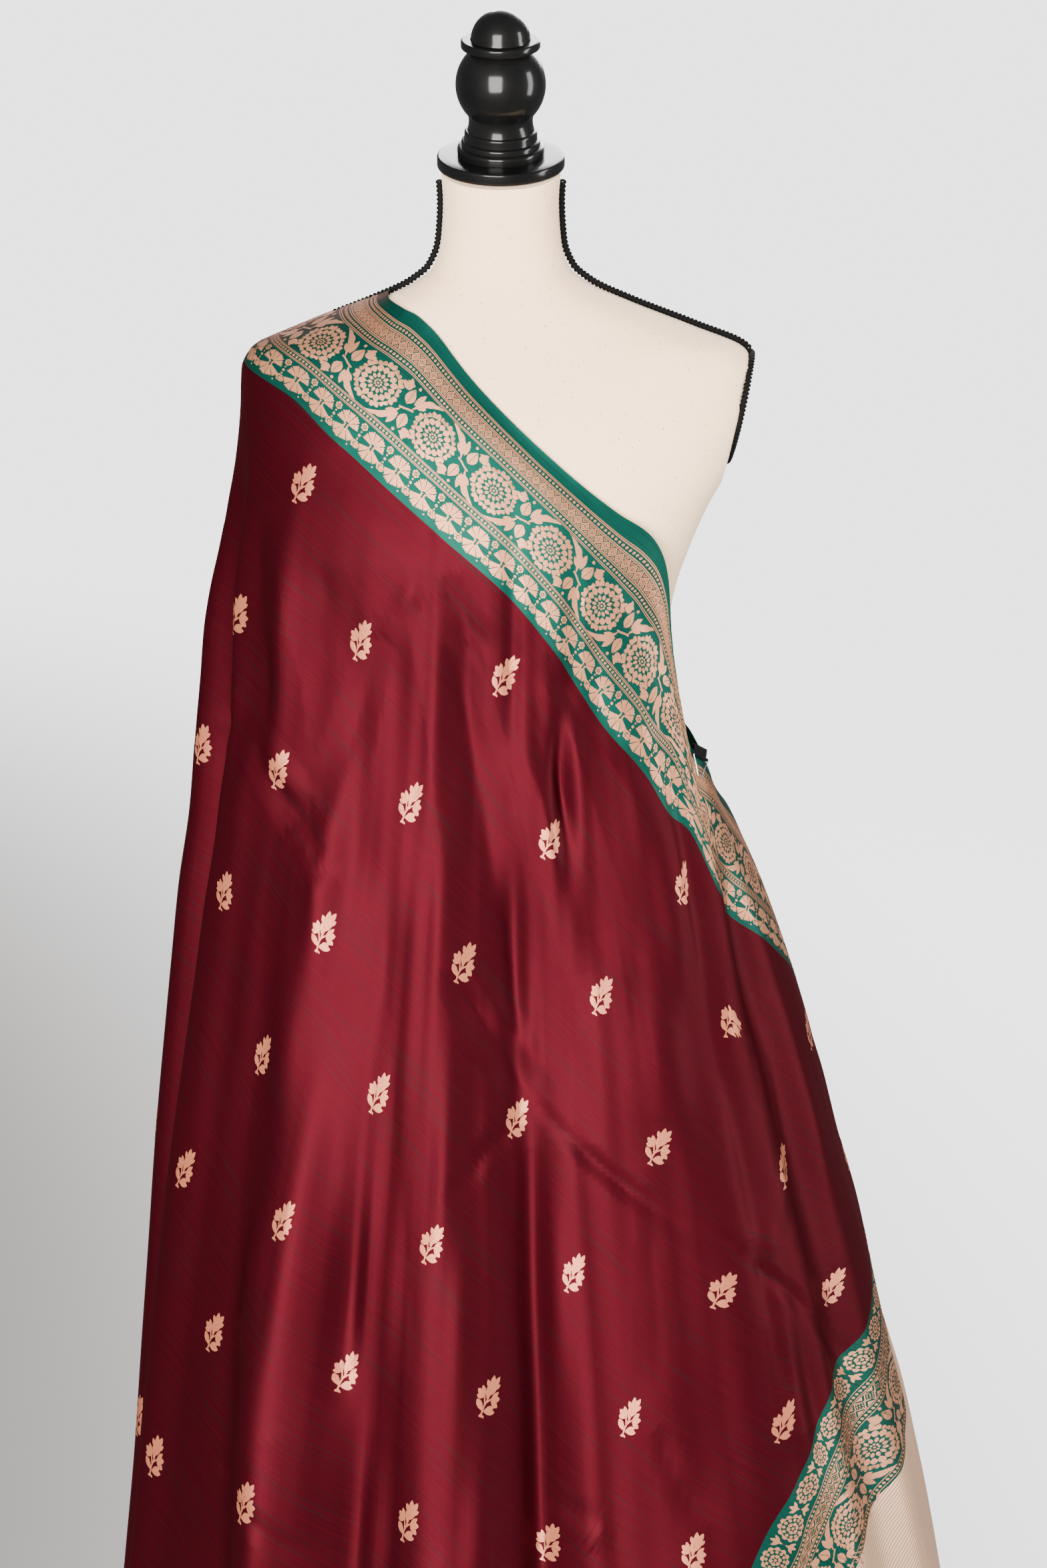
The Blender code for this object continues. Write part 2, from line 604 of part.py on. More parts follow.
def build_gimp(collection):
    """Braid along the neck's sides and shoulder seams, and round the bare armhole."""
    clear = GIMP_RADIUS + 0.0004
    for name, side, lowest in (("gimp_neck_right", 90.0, 1.392), ("gimp_neck_left", -90.0, 1.414)):
        steps = round((GIMP_TOP - lowest) / 0.008)
        heights = [GIMP_TOP + (lowest - GIMP_TOP) * k / steps for k in range(steps + 1)]
        line = [form_point(side, z) for z in heights]
        moved = []
        for k, point in enumerate(line):
            along = (line[min(k + 1, len(line) - 1)] - line[max(k - 1, 0)]).normalized()
            out = Vector((0.0, 1.0, 0.0)).cross(along)
            out = out if out.x * point.x > 0 else -out
            flare = 0.0016 * math.exp(-(((heights[k] - FLARE_Z) / 0.014) ** 2))
            moved.append(point + out * (clear + flare))
        tube(name, moved, GIMP_RADIUS, False, collection, "black_gimp")


def build_armhole(collection):
    """The oval plate that closes the bare armhole, and the braid round it."""
    half_height, half_depth, thickness = 0.042, 0.036, 0.003
    centre = Vector((ARM_TOP_X - 0.045 * ARM_LEAN, 0.001, ARM_TOP_Z - 0.045))
    lean = math.atan(ARM_LEAN)
    turn = Matrix.Translation(centre) @ Matrix.Rotation(math.pi / 2 + lean, 4, "Y")
    bpy.ops.mesh.primitive_cylinder_add(vertices=28, radius=1.0, depth=thickness)
    plate = bpy.context.object
    plate.name = plate.data.name = "form_armhole_plate"
    plate.data.transform(Matrix.Diagonal((half_height, half_depth, 1.0, 1.0)))
    plate.matrix_world = turn @ Matrix.Translation((0.0, 0.0, thickness / 2 + SEAM_GAP))
    place(plate, collection, "canvas")
    reach = GIMP_RADIUS + SEAM_GAP
    ring = []
    points = 24
    for k in range(points):
        t = 2 * math.pi * k / points
        flat = Vector((
            (half_height + reach) * math.cos(t), (half_depth + reach) * math.sin(t), reach + SEAM_GAP
        ))
        ring.append(turn @ flat)
    tube("gimp_armhole", ring, GIMP_RADIUS, True, collection, "black_gimp")


def build_stand(collection):
    """A bottom cap under the canvas, the pole and a round weighted base."""
    cap_height = 0.012
    cap = [(0.0, 0.0), (0.040, 0.0), (0.042, -0.002), (0.042, -cap_height), (0.0, -cap_height)]
    piece = turned("stand_collar", cap, collection, "black_enamel")
    piece.location.z = TORSO_BOTTOM - SEAM_GAP
    pole_top = TORSO_BOTTOM - cap_height - 2 * SEAM_GAP
    pole_bottom = BASE_HEIGHT + 0.014 + SEAM_GAP
    bpy.ops.mesh.primitive_cylinder_add(
        vertices=24, radius=POLE_RADIUS, depth=pole_top - pole_bottom,
        location=(0.0, 0.0, (pole_top + pole_bottom) / 2),
    )
    pole = bpy.context.object
    pole.name = pole.data.name = "stand_pole"
    place(pole, collection, "black_enamel")
    base = [(0.0, BASE_HEIGHT + 0.014), (0.022, BASE_HEIGHT + 0.014), (0.028, BASE_HEIGHT + 0.010)]
    base += [(0.034, BASE_HEIGHT), (BASE_RADIUS - 0.010, BASE_HEIGHT)]
    base += arc(BASE_RADIUS - 0.006, BASE_HEIGHT - 0.006, 0.006, 75, 0, 3)
    base += [(BASE_RADIUS, 0.002), (BASE_RADIUS - 0.002, 0.0), (0.0, 0.0)]
    turned("stand_base", base, collection, "black_enamel", 32)


CLIP_LENGTH = 0.019
CLIP_STRIP = 0.0005          # the steel's thickness
CLIP_SLANT = 27.0            # degrees that its spine falls below level
CLIP_SPINE = -0.0052         # the spine lies this far outside the cloth's edge
CLIP_SPINE_HALF = 0.0044
CLIP_JAW = 0.0034            # the jaws bite this far in from the edge
CLIP_JAW_HALF = 0.0036
CLIP_MIDDLE = -0.0028        # half-way through the two walls of cloth
CURL_INSIDE = 0.0009
CURL_TURN = 270.0
CURL_STEPS = 9
WIRE_RADIUS = 0.0005
LEVER_HOLD = 0.0060          # the wire's ends reach in to this far from the clip's middle
LEVER_LENGTH = 0.0165


def clip_frame():
    """The clip's own axes: along its spine, toward its jaws, away from the cloth."""
    centre = Vector(on_surface(outer_radius, CLIP_AZ, CLIP_Z).tolist())
    away = Vector(outward(outer_radius, CLIP_AZ, CLIP_Z).tolist())
    level = Vector((-away.y, away.x, 0.0)).normalized()
    up = away.cross(level)
    up = up if up.z > 0 else -up
    slant = math.radians(CLIP_SLANT)
    spine = level * math.cos(slant) - up * math.sin(slant)
    toward_jaws = away.cross(spine)
    toward_jaws = toward_jaws if toward_jaws.z < 0 else -toward_jaws
    return centre, spine, toward_jaws, away


def clip_profile(sign):
    """Half of the bent steel strip, cut across: spine, flank, and the curl at the jaw."""
    jaw, spine = CLIP_JAW_HALF, CLIP_SPINE_HALF
    centre_along, centre_away = CLIP_JAW, jaw + CURL_INSIDE + CLIP_STRIP
    turns = [math.radians(-90 + CURL_TURN * k / CURL_STEPS) for k in range(CURL_STEPS + 1)]
    rings = []
    for radius in (CURL_INSIDE + CLIP_STRIP, CURL_INSIDE):
        rings.append([
            (centre_along + radius * math.cos(t), centre_away + radius * math.sin(t)) for t in turns
        ])
    half = [(CLIP_SPINE, 0.0), (CLIP_SPINE, spine)] + rings[0] + rings[1][::-1]
    half += [(CLIP_SPINE - CLIP_STRIP, spine + CLIP_STRIP), (CLIP_SPINE - CLIP_STRIP, 0.0)]
    return [(along, CLIP_MIDDLE + sign * away) for along, away in half]


def build_clip(collection):
    """The small black clip that holds the front and the back stretch, and its two levers."""
    centre, spine, toward_jaws, away = clip_frame()
    frame = Matrix.Translation(centre) @ Matrix((spine, toward_jaws, away)).transposed().to_4x4()
    outline = clip_profile(1.0) + clip_profile(-1.0)[-2:0:-1]
    curve = bpy.data.curves.new("clip_body", "CURVE")
    curve.dimensions = "2D"
    curve.fill_mode = "BOTH"
    curve.extrude = CLIP_LENGTH / 2
    spline = curve.splines.new("POLY")
    spline.points.add(len(outline) - 1)
    for point, (along, out) in zip(spline.points, outline):
        point.co = (along, out, 0.0, 1.0)
    spline.use_cyclic_u = True
    body = bpy.data.objects.new("clip_body", curve)
    stand_up = Matrix(((0, 0, 1, 0), (1, 0, 0, 0), (0, 1, 0, 0), (0, 0, 0, 1)))
    body.matrix_world = frame @ stand_up
    place(body, collection, "black_enamel")
    for name, sign in (("clip_lever_front", 1.0), ("clip_lever_back", -1.0)):
        away_at = CLIP_MIDDLE + sign * (CLIP_JAW_HALF + CURL_INSIDE + CLIP_STRIP)
        route = [
            (LEVER_HOLD, 0.0), (CLIP_LENGTH / 2 + 0.0010, 0.0), (CLIP_LENGTH / 2 + 0.0014, 0.0006),
            (0.0062, 0.0085), (0.0040, LEVER_LENGTH - 0.0030), (0.0030, LEVER_LENGTH - 0.0008),
            (0.0012, LEVER_LENGTH),
        ]
        route += [(-across, along) for across, along in route[::-1]]
        points = [frame @ Vector((across, CLIP_JAW + along, away_at)) for across, along in route]
        tube(name, points, WIRE_RADIUS, False, collection, "steel")


def main():
    clear_scene()
    collection = bpy.data.collections.new("sari_on_dress_form")
    bpy.context.scene.collection.children.link(collection)
    build_torso(collection)
    build_neck_top(collection)
    build_gimp(collection)
    build_armhole(collection)
    build_stand(collection)
    build_front(collection)
    build_back(collection)
    build_clip(collection)


main()
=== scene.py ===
# %% [markdown]
# # A silk sari on a dress form
#
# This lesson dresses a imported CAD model, the frame, so that it looks like the real thing: a
# maroon silk sari with small woven flowers, a wide border brocaded in metal thread, and a
# gold end piece. It hangs over one shoulder of a canvas dress form, and a small black clip
# holds it at the side. The frame has the true sizes. Here each piece gets its fine form and
# its finish, and nothing of the frame is moved.

# %% Load the frame
import math

import bmesh
import bpy
import numpy as np
from mathutils import Matrix, Vector
from mathutils.bvhtree import BVHTree


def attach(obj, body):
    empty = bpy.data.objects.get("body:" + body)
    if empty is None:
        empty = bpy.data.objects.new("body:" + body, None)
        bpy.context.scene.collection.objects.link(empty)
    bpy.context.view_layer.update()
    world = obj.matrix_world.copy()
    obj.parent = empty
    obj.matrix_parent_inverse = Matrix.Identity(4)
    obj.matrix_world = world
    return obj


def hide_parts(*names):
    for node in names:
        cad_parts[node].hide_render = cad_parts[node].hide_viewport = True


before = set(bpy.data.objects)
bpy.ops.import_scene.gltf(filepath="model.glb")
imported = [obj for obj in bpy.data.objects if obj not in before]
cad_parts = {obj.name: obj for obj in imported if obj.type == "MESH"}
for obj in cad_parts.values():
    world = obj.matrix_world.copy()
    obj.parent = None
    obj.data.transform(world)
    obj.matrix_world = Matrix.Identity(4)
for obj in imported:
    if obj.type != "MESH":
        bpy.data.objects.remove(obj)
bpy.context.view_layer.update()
BODY = "sari_and_form"


# %% [markdown]
# ## The camera
#
# The photograph was taken from a little above the form's neck with a long lens, looking
# slightly down. Its height and tilt were found from the neck disk, whose top shows as a thin
# oval. The same numbers turn a pixel of the photograph into a ray, so that the creases and
# the woven flowers can be placed where they show.

# %% Camera
PHOTO_HEIGHT = 2349
CAMERA_PLACE = Vector((0.018, -2.8, 1.722))
LOOKS_DOWN = math.radians(14.0)
FOCAL_PIXELS = 5185.0
SENSOR = 36.0


def put(name, data):
    """Make an object of some data and link it to the scene."""
    thing = bpy.data.objects.new(name, data)
    bpy.context.scene.collection.objects.link(thing)
    return thing


camera_data = bpy.data.cameras.new("camera")
camera_data.sensor_fit = "VERTICAL"
camera_data.sensor_height = SENSOR
camera_data.lens = SENSOR * FOCAL_PIXELS / PHOTO_HEIGHT
camera = put("camera", camera_data)
camera.location = CAMERA_PLACE
camera.rotation_euler = (math.pi / 2 - LOOKS_DOWN, 0.0, 0.0)
bpy.context.scene.camera = camera
print(f"camera: {camera_data.lens:.1f} mm lens on a {SENSOR:.0f} mm high frame")


# %% [markdown]
# ## Light and floor
#
# The photograph has one big soft light in front, a little to the left, and a pale room that
# fills the shadows. Silk needs that: its upright folds show only because a part of each is
# turned to the light. The key is a tall area light that reaches almost to the floor, so that a
# highlight can run down a whole fold. A weak one far out on the right draws the edge of that
# side, one behind lights the back, and the world's pale light does the rest. The floor is so
# wide that it is also the backdrop. It takes light but throws none back, or the folds' dark
# sides would fill up from below.

# %% Light and floor
FLOOR_SIZE = 1600.0
# place, width, height, power and colour
LIGHTS = {
    "key": ((-0.95, -4.2, 1.6), 2.5, 3.0, 960.0, (1.0, 0.955, 0.91)),
    "fill": ((3.5, -0.5, 1.6), 0.9, 2.8, 180.0, (1.0, 0.97, 0.94)),
    "back": ((0.6, 3.4, 3.0), 2.4, 2.0, 330.0, (1.0, 1.0, 1.0)),
}
LIGHTS_LOOK_AT = Vector((0.0, 0.0, 1.0))


def area_light(name, place, wide, tall, power, colour):
    """A tall soft light turned to the middle of the form."""
    data = bpy.data.lights.new(name, "AREA")
    data.shape = "RECTANGLE"
    data.size = wide
    data.size_y = tall
    data.energy = power
    data.color = colour
    lamp = put(name, data)
    lamp.location = place
    lamp.rotation_euler = (LIGHTS_LOOK_AT - Vector(place)).to_track_quat("-Z", "Y").to_euler()


for light_name, light in LIGHTS.items():
    area_light(light_name, *light)

world = bpy.data.worlds.new("pale room")
world.use_nodes = True
world.node_tree.nodes["Background"].inputs["Color"].default_value = (0.93, 0.95, 1.0, 1.0)
world.node_tree.nodes["Background"].inputs["Strength"].default_value = 0.26
bpy.context.scene.world = world
print("lights: key, fill, back and a pale world")


# %% [markdown]
# ## Shader sums in Python
#
# A finish is worked out with many small sums on shader sockets. Adding each Math node by hand
# hides the sum, so a small class wraps a socket and overloads the operators: `mask * 0.5 + 1`
# adds the nodes itself. Colours go through Mix nodes, because a Math node would turn them
# grey. Every other node comes from one method.

# %% Shader helper
class Flow:
    """A socket of a material's node tree that can be used in Python sums."""

    def __init__(self, tree, socket):
        self.tree = tree
        self.socket = socket

    def node(self, kind, settings, *values, output=0):
        """Add a node: its settings first, then its inputs in order, as links or values."""
        node = self.tree.nodes.new(kind)
        for key, value in settings.items():
            setattr(node, key, value)
        for index, value in enumerate(values):
            if isinstance(value, Flow):
                self.tree.links.new(value.socket, node.inputs[index])
            elif value is not None:
                node.inputs[index].default_value = value
        return Flow(self.tree, node.outputs[output])

    def math(self, operation, *values):
        return self.node("ShaderNodeMath", {"operation": operation}, *values)

    def __add__(self, other):
        return self.math("ADD", self, other)

    def __sub__(self, other):
        return self.math("SUBTRACT", self, other)

    def __rsub__(self, other):
        return self.math("SUBTRACT", other, self)

    def __mul__(self, other):
        return self.math("MULTIPLY", self, other)

    def __truediv__(self, other):
        return self.math("DIVIDE", self, other)

    __radd__ = __add__
    __rmul__ = __mul__

    def above(self, edge, softness):
        """0 below an edge and 1 above it, with a soft step."""
        return self.node("ShaderNodeMapRange", {"interpolation_type": "SMOOTHSTEP"},
                         self, edge - softness, edge + softness, 0.0, 1.0)

    def wave(self, pitch):
        """A sine from 0 to 1 that repeats at a pitch."""
        return self.math("SINE", self * (2 * math.pi / pitch)) * 0.5 + 0.5

    def noise(self, scale, detail=2.0, roughness=0.5):
        return self.node("ShaderNodeTexNoise", {}, self, None, scale, detail, roughness)

    def stretched(self, across, along, third=1.0):
        return self.node("ShaderNodeVectorMath", {"operation": "MULTIPLY"}, self,
                         (across, along, third))

    def mix(self, one, other):
        """Go from one colour to another as this value goes from 0 to 1."""
        node = self.tree.nodes.new("ShaderNodeMix")
        node.data_type = "RGBA"
        self.tree.links.new(self.socket, node.inputs["Factor"])
        for key, value in (("A", one), ("B", other)):
            socket = [s for s in node.inputs if s.name == key and s.type == "RGBA"][0]
            if isinstance(value, Flow):
                self.tree.links.new(value.socket, socket)
            else:
                socket.default_value = (*value, 1.0)
        return Flow(self.tree, [s for s in node.outputs if s.type == "RGBA"][0])


class Finish:
    """One material, with the places that its patterns read and its Principled shader."""

    def __init__(self, name, **constants):
        self.material = bpy.data.materials.new(name)
        self.material.use_nodes = True
        self.tree = self.material.node_tree
        self.shader = self.tree.nodes["Principled BSDF"]
        for key, value in constants.items():
            self.shader.inputs[key.replace("_", " ")].default_value = value
        coordinates = self.tree.nodes.new("ShaderNodeTexCoord")
        self.place = Flow(self.tree, coordinates.outputs["Object"])
        self.cloth = Flow(self.tree, coordinates.outputs["UV"])

    def across_and_along(self):
        """The cloth's own length (warp) and width (weft), in metres."""
        split = self.tree.nodes.new("ShaderNodeSeparateXYZ")
        self.tree.links.new(self.cloth.socket, split.inputs[0])
        return Flow(self.tree, split.outputs["X"]), Flow(self.tree, split.outputs["Y"])

    def feed(self, **flows):
        for key, flow in flows.items():
            self.tree.links.new(flow.socket, self.shader.inputs[key.replace("_", " ")])

    def bump(self, height, distance, strength=1.0):
        node = self.tree.nodes.new("ShaderNodeBump")
        node.inputs["Strength"].default_value = strength
        node.inputs["Distance"].default_value = distance
        self.tree.links.new(height.socket, node.inputs["Height"])
        self.tree.links.new(node.outputs["Normal"], self.shader.inputs["Normal"])


def linear(red, green, blue):
    """A colour read as it looks on a screen, 0 to 255, as the linear light that shaders use."""
    screen = [c / 255 for c in (red, green, blue)]
    return tuple(c / 12.92 if c <= 0.04045 else ((c + 0.055) / 1.055) ** 2.4 for c in screen)


print("shader helper ready")


# %% [markdown]
# ## Floor
#
# A plain pale sheet of paper that glows a little, as a lit backdrop does, with the faintest
# mottle. A wide soft shade is painted into its glow at the left, as if the room were darker there.

# %% Floor
def make_floor_finish():
    paper = Finish("pale_floor", Roughness=0.95, Specular_IOR_Level=0.1, Emission_Strength=4.0)
    mottle = paper.place.noise(3.0, 4.0)
    # painted shade: the glow darkens in a wide soft pool round a spot left of the form
    squeezed = paper.place.stretched(1.0, 0.5, 0.0)
    reach = squeezed.node("ShaderNodeVectorMath", {"operation": "DISTANCE"}, squeezed,
                          (-2.2, 0.0, 0.0), output=1)
    lit = reach.above(2.45, 0.95)
    paper.feed(Base_Color=mottle.mix(linear(70, 70, 71), linear(76, 76, 77)),
               Emission_Color=lit.mix(linear(84, 80, 76), linear(222, 222, 223)))
    return paper.material


bpy.ops.mesh.primitive_plane_add(size=FLOOR_SIZE)
floor = bpy.context.object
floor.name = "floor"
floor.data.materials.append(make_floor_finish())
floor.visible_diffuse = False
floor.visible_glossy = False
print(f"floor: {FLOOR_SIZE:.0f} m wide")


# %% [markdown]
# ## The drape as a surface
#
# The cloth hangs from the form like a skin round a pole, so each place on it has an azimuth
# (0 is the front, 90 the right of the picture, 180 the back) and a height, and the shape is
# one number, the radius there. Four tables give the plain rings. The folds are added to
# them, and then the creases. These are the sizes that the frame was built with, so the fine
# cloth lies on the frame's.

# %% Drape sizes
SQUARENESS = 2.25
WALL = 0.002
SEAM_GAP = 0.0003
SEAM_AZ = -90.0
CLIP_AZ, CLIP_Z = 62.0, 1.0705
BACK_END_AZ = -301.0
FRONT_END_AZ = 184.0
OUTER_STANDOFF = 0.018
CLIP_PULL, CLIP_PULL_AZ, CLIP_PULL_Z = 0.017, 12.0, 0.095
INNER_SET_BACK = 0.015
HEM = 0.012

# height, left, right of the outer stretch, front, back, right of the inner one
DRAPE = np.array([
    (1.46, 0.078, 0.06, 0.061, 0.066, 0.06), (1.443, 0.104, 0.078, 0.064, 0.07, 0.078),
    (1.425, 0.138, 0.113, 0.068, 0.074, 0.113), (1.405, 0.17, 0.166, 0.075, 0.081, 0.166),
    (1.388, 0.202, 0.206, 0.083, 0.088, 0.206), (1.372, 0.21, 0.214, 0.091, 0.092, 0.214),
    (1.34, 0.2115, 0.212, 0.106, 0.096, 0.212), (1.3, 0.216, 0.2, 0.119, 0.098, 0.198),
    (1.26, 0.2235, 0.18, 0.13, 0.099, 0.177), (1.225, 0.23, 0.172, 0.1345, 0.1, 0.163),
    (1.195, 0.236, 0.166, 0.1345, 0.101, 0.154), (1.15, 0.243, 0.16, 0.134, 0.104, 0.147),
    (1.1, 0.25, 0.159, 0.138, 0.11, 0.144), (1.06, 0.255, 0.167, 0.143, 0.117, 0.148),
    (1.009, 0.26, 0.188, 0.15, 0.127, 0.166), (0.94, 0.271, 0.218, 0.162, 0.14, 0.194),
    (0.88, 0.278, 0.24, 0.172, 0.152, 0.215), (0.827, 0.284, 0.257, 0.182, 0.162, 0.233),
    (0.715, 0.296, 0.286, 0.203, 0.184, 0.262), (0.623, 0.304, 0.312, 0.22, 0.202, 0.288),
    (0.534, 0.312, 0.333, 0.236, 0.218, 0.309), (0.431, 0.321, 0.361, 0.253, 0.236, 0.337),
    (0.31, 0.334, 0.385, 0.27, 0.254, 0.36), (0.15, 0.348, 0.408, 0.288, 0.274, 0.383),
    (0.01, 0.36, 0.422, 0.3, 0.288, 0.397),
])
# top height, azimuth there, bottom height, azimuth there, rise at the top and bottom, half width
FRONT_FOLDS = (
    (1.34, -82, 1.05, -77, -0.006, -0.03, 7), (1.14, -77, 0, -81, -0.004, -0.022, 7),
    (1.12, -67, 0, -72, 0.01, 0.012, 8), (1.08, -49, 0, -36, 0.006, 0.03, 10),
    (1.02, -30, 0, -24, -0.006, -0.018, 9), (1.24, -23, 0, -6, 0.004, 0.034, 12),
    (1.04, 5, 0, 11, -0.008, -0.034, 12), (1.14, 30, 0, 36, 0.006, 0.022, 14),
    (1.06, 56, 0, 58, 0.008, 0.012, 7), (1.02, 65, 0, 70, -0.008, -0.012, 7),
    (0.98, 112, 0, 100, 0.004, 0.016, 14), (0.8, 150, 0, 135, 0.003, 0.014, 12),
)
BACK_FOLDS = (
    (1.2, -104, 0, -106, -0.008, -0.036, 9), (1.18, -124, 0, -122, 0.006, 0.022, 11),
    (1.16, -142, 0, -140, -0.006, -0.034, 11), (1.14, -160, 0, -160, 0.006, 0.02, 12),
    (1.1, -180, 0, -181, -0.006, -0.034, 12), (1.08, -214, 0, -212, -0.004, -0.022, 12),
    (1.02, -246, 0, -244, -0.003, -0.02, 13),
)


def smooth_at(places, values, wanted):
    """Read a table on a smooth curve that never overshoots its rows."""
    places, values = np.asarray(places, float), np.asarray(values, float)
    if places[0] > places[-1]:
        places, values = places[::-1], values[::-1]
    step = np.diff(places)
    slope = np.diff(values) / step
    tangent = np.zeros(len(places))
    tangent[0], tangent[-1] = slope[0], slope[-1]
    before, after = slope[:-1], slope[1:]
    rising = before * after > 0
    near, far = 2 * step[1:] + step[:-1], step[1:] + 2 * step[:-1]
    inner = np.zeros(len(before))
    inner[rising] = (near + far)[rising] / (
        near[rising] / before[rising] + far[rising] / after[rising]
    )
    tangent[1:-1] = inner
    wanted = np.clip(wanted, places[0], places[-1])
    k = np.clip(np.searchsorted(places, wanted, side="right") - 1, 0, len(step) - 1)
    t = (wanted - places[k]) / step[k]
    return (
        (2 * t**3 - 3 * t**2 + 1) * values[k] + (t**3 - 2 * t**2 + t) * step[k] * tangent[k]
        + (3 * t**2 - 2 * t**3) * values[k + 1] + (t**3 - t**2) * step[k] * tangent[k + 1]
    )


def ramp(value, start, end):
    """0 at start, 1 at end, with soft ends."""
    t = np.clip((value - start) / (end - start), 0.0, 1.0)
    return t * t * (3 - 2 * t)


def ring_radius(azimuth, left, right, front, back):
    side_part, depth_part = np.sin(np.radians(azimuth)), np.cos(np.radians(azimuth))
    side = np.where(side_part < 0, left, right)
    depth = np.where(depth_part > 0, front, back)
    total = np.abs(side_part / side) ** SQUARENESS + np.abs(depth_part / depth) ** SQUARENESS
    return total ** (-1 / SQUARENESS)


def fold_rise(folds, azimuth, height):
    rise = np.zeros(np.broadcast(azimuth, height).shape)
    for top, top_az, bottom, bottom_az, top_rise, bottom_rise, half_width in folds:
        down = np.clip((top - height) / (top - bottom), 0.0, 1.0)
        centre = top_az + (bottom_az - top_az) * down
        size = (top_rise + (bottom_rise - top_rise) * down) * ramp(height, top, top - 0.1)
        across = np.clip(np.abs(azimuth - centre) / half_width, 0.0, 1.0)
        rise = rise + size * (0.5 + 0.5 * np.cos(math.pi * across))
    return rise


def drape_columns(height):
    return [smooth_at(DRAPE[:, 0], DRAPE[:, i], height) for i in range(1, 6)]


def outer_radius(azimuth, height):
    """The front stretch, which goes on round the right side to the back."""
    left, right, front, back, _ = drape_columns(height)
    plain = ring_radius(azimuth, left, right, front, back + OUTER_STANDOFF)
    near_clip = ((azimuth - CLIP_AZ) / CLIP_PULL_AZ) ** 2 + ((height - CLIP_Z) / CLIP_PULL_Z) ** 2
    return plain + fold_rise(FRONT_FOLDS, azimuth, height) + CLIP_PULL * np.exp(-near_clip)


def inner_radius(azimuth, height):
    """The back stretch, from the left side round the back to behind the clip."""
    left, _, front, back, right = drape_columns(height)
    radius = ring_radius(azimuth, left, right, front - INNER_SET_BACK, back)
    radius = radius + fold_rise(BACK_FOLDS, azimuth, height)
    behind = outer_radius(azimuth + 360.0, height) - WALL - 2 * SEAM_GAP
    near_clip = ramp(azimuth, -270.0, -288.0) * np.exp(-(((height - CLIP_Z) / 0.08) ** 4))
    return radius + (behind - radius) * near_clip


def on_surface(radius, azimuth, height):
    azimuth, height = np.broadcast_arrays(azimuth, height)
    r = radius(azimuth, height)
    turn = np.radians(azimuth)
    return np.stack([r * np.sin(turn), -r * np.cos(turn), height], axis=-1)


def outward(radius, azimuth, height):
    """The surface's unit normal, away from the form."""
    across = on_surface(radius, azimuth + 0.1, height) - on_surface(radius, azimuth - 0.1, height)
    down = on_surface(radius, azimuth, height - 0.0004) - on_surface(radius, azimuth, height + 0.0004)
    normal = np.cross(down, across)
    return normal / np.linalg.norm(normal, axis=-1, keepdims=True)


print("the drape is", round(2 * float(drape_columns(0.2)[1]) * 1000), "mm wide near the floor")


# %% [markdown]
# ## Edges of the cloth
#
# The sari is one long rectangle, and nothing is cut from it. It falls into stretches: the
# border along its upper edge, the plain silk under it, the lower border, and the band and
# gold tissue of the end piece. Each line between two stretches is a table of azimuth and
# height, read on a smooth curve.

# %% Edges
EDGES = {
    "front_selvedge": (
        (-90, 1.436), (-74.5, 1.431), (-51.5, 1.421), (-43.8, 1.414), (-15.2, 1.373), (5.2, 1.341),
        (18.7, 1.316), (40, 1.27), (49.4, 1.25), (55.2, 1.213), (57.4, 1.16), (58.3, 1.118),
        (59, 1.079), (60.4, 1.074), (62, 1.0705), (65.2, 1.0625), (68, 1.054), (78, 1.03), (90, 1),
        (105, 0.93), (120, 0.855), (130, 0.81), (140, 0.765), (150, 0.72), (165, 0.655), (184, 0.585),
    ),
    "front_border": (
        (-90, 1.38), (-87.5, 1.379), (-70.3, 1.36), (-54.9, 1.326), (-38, 1.29), (-18.1, 1.251),
        (1.9, 1.21), (19.5, 1.158), (34.6, 1.098), (44, 1.06), (48.6, 1.03), (53.6, 1.014),
        (57.7, 0.963), (65.4, 0.934), (76.9, 0.895), (90, 0.855), (105, 0.775), (115, 0.725),
        (125, 0.68), (135, 0.63), (150, 0.565), (165, 0.5), (184, 0.43),
    ),
    "band_inner": (
        (7, 0.012), (14, 0.1), (22, 0.2), (30, 0.3), (35, 0.365), (40.5, 0.423), (44, 0.455),
        (50, 0.489), (56.6, 0.53), (60.1, 0.546), (69.2, 0.564), (76.7, 0.582), (84, 0.604),
        (95, 0.644), (105, 0.684), (115, 0.725), (125, 0.77),
    ),
    "band_outer": (
        (29, 0.012), (35.5, 0.115), (41, 0.2), (46, 0.27), (51, 0.335), (57.5, 0.401), (66.4, 0.43),
        (76, 0.452), (85, 0.472), (95, 0.506), (105, 0.546), (115, 0.59), (125, 0.636), (135, 0.68),
    ),
    "pallu_end": (
        (102, 0.012), (112, 0.08), (124, 0.165), (136, 0.25), (148, 0.335), (160, 0.42), (172, 0.5),
        (184, 0.585),
    ),
    "lower_selvedge": (
        (-58, 0.012), (-66, 0.03), (-75, 0.07), (-85, 0.17), (-95, 0.235), (-105, 0.25), (-120, 0.22),
        (-135, 0.16), (-150, 0.09), (-162, 0.035), (-170, 0.012),
    ),
    "lower_border": (
        (-25, 0.008), (-35, 0.06), (-45, 0.1), (-58, 0.15), (-66, 0.175), (-75, 0.22), (-85, 0.31),
        (-95, 0.37), (-105, 0.385), (-120, 0.36), (-135, 0.3), (-150, 0.225), (-165, 0.155),
        (-180, 0.09), (-195, 0.03), (-200, 0.012),
    ),
}


def mirrored(name, count, *more):
    """The first points of a line in front, mirrored to the back, and more points after them."""
    return tuple((2 * SEAM_AZ - azimuth, height) for azimuth, height in EDGES[name][:count]) + more


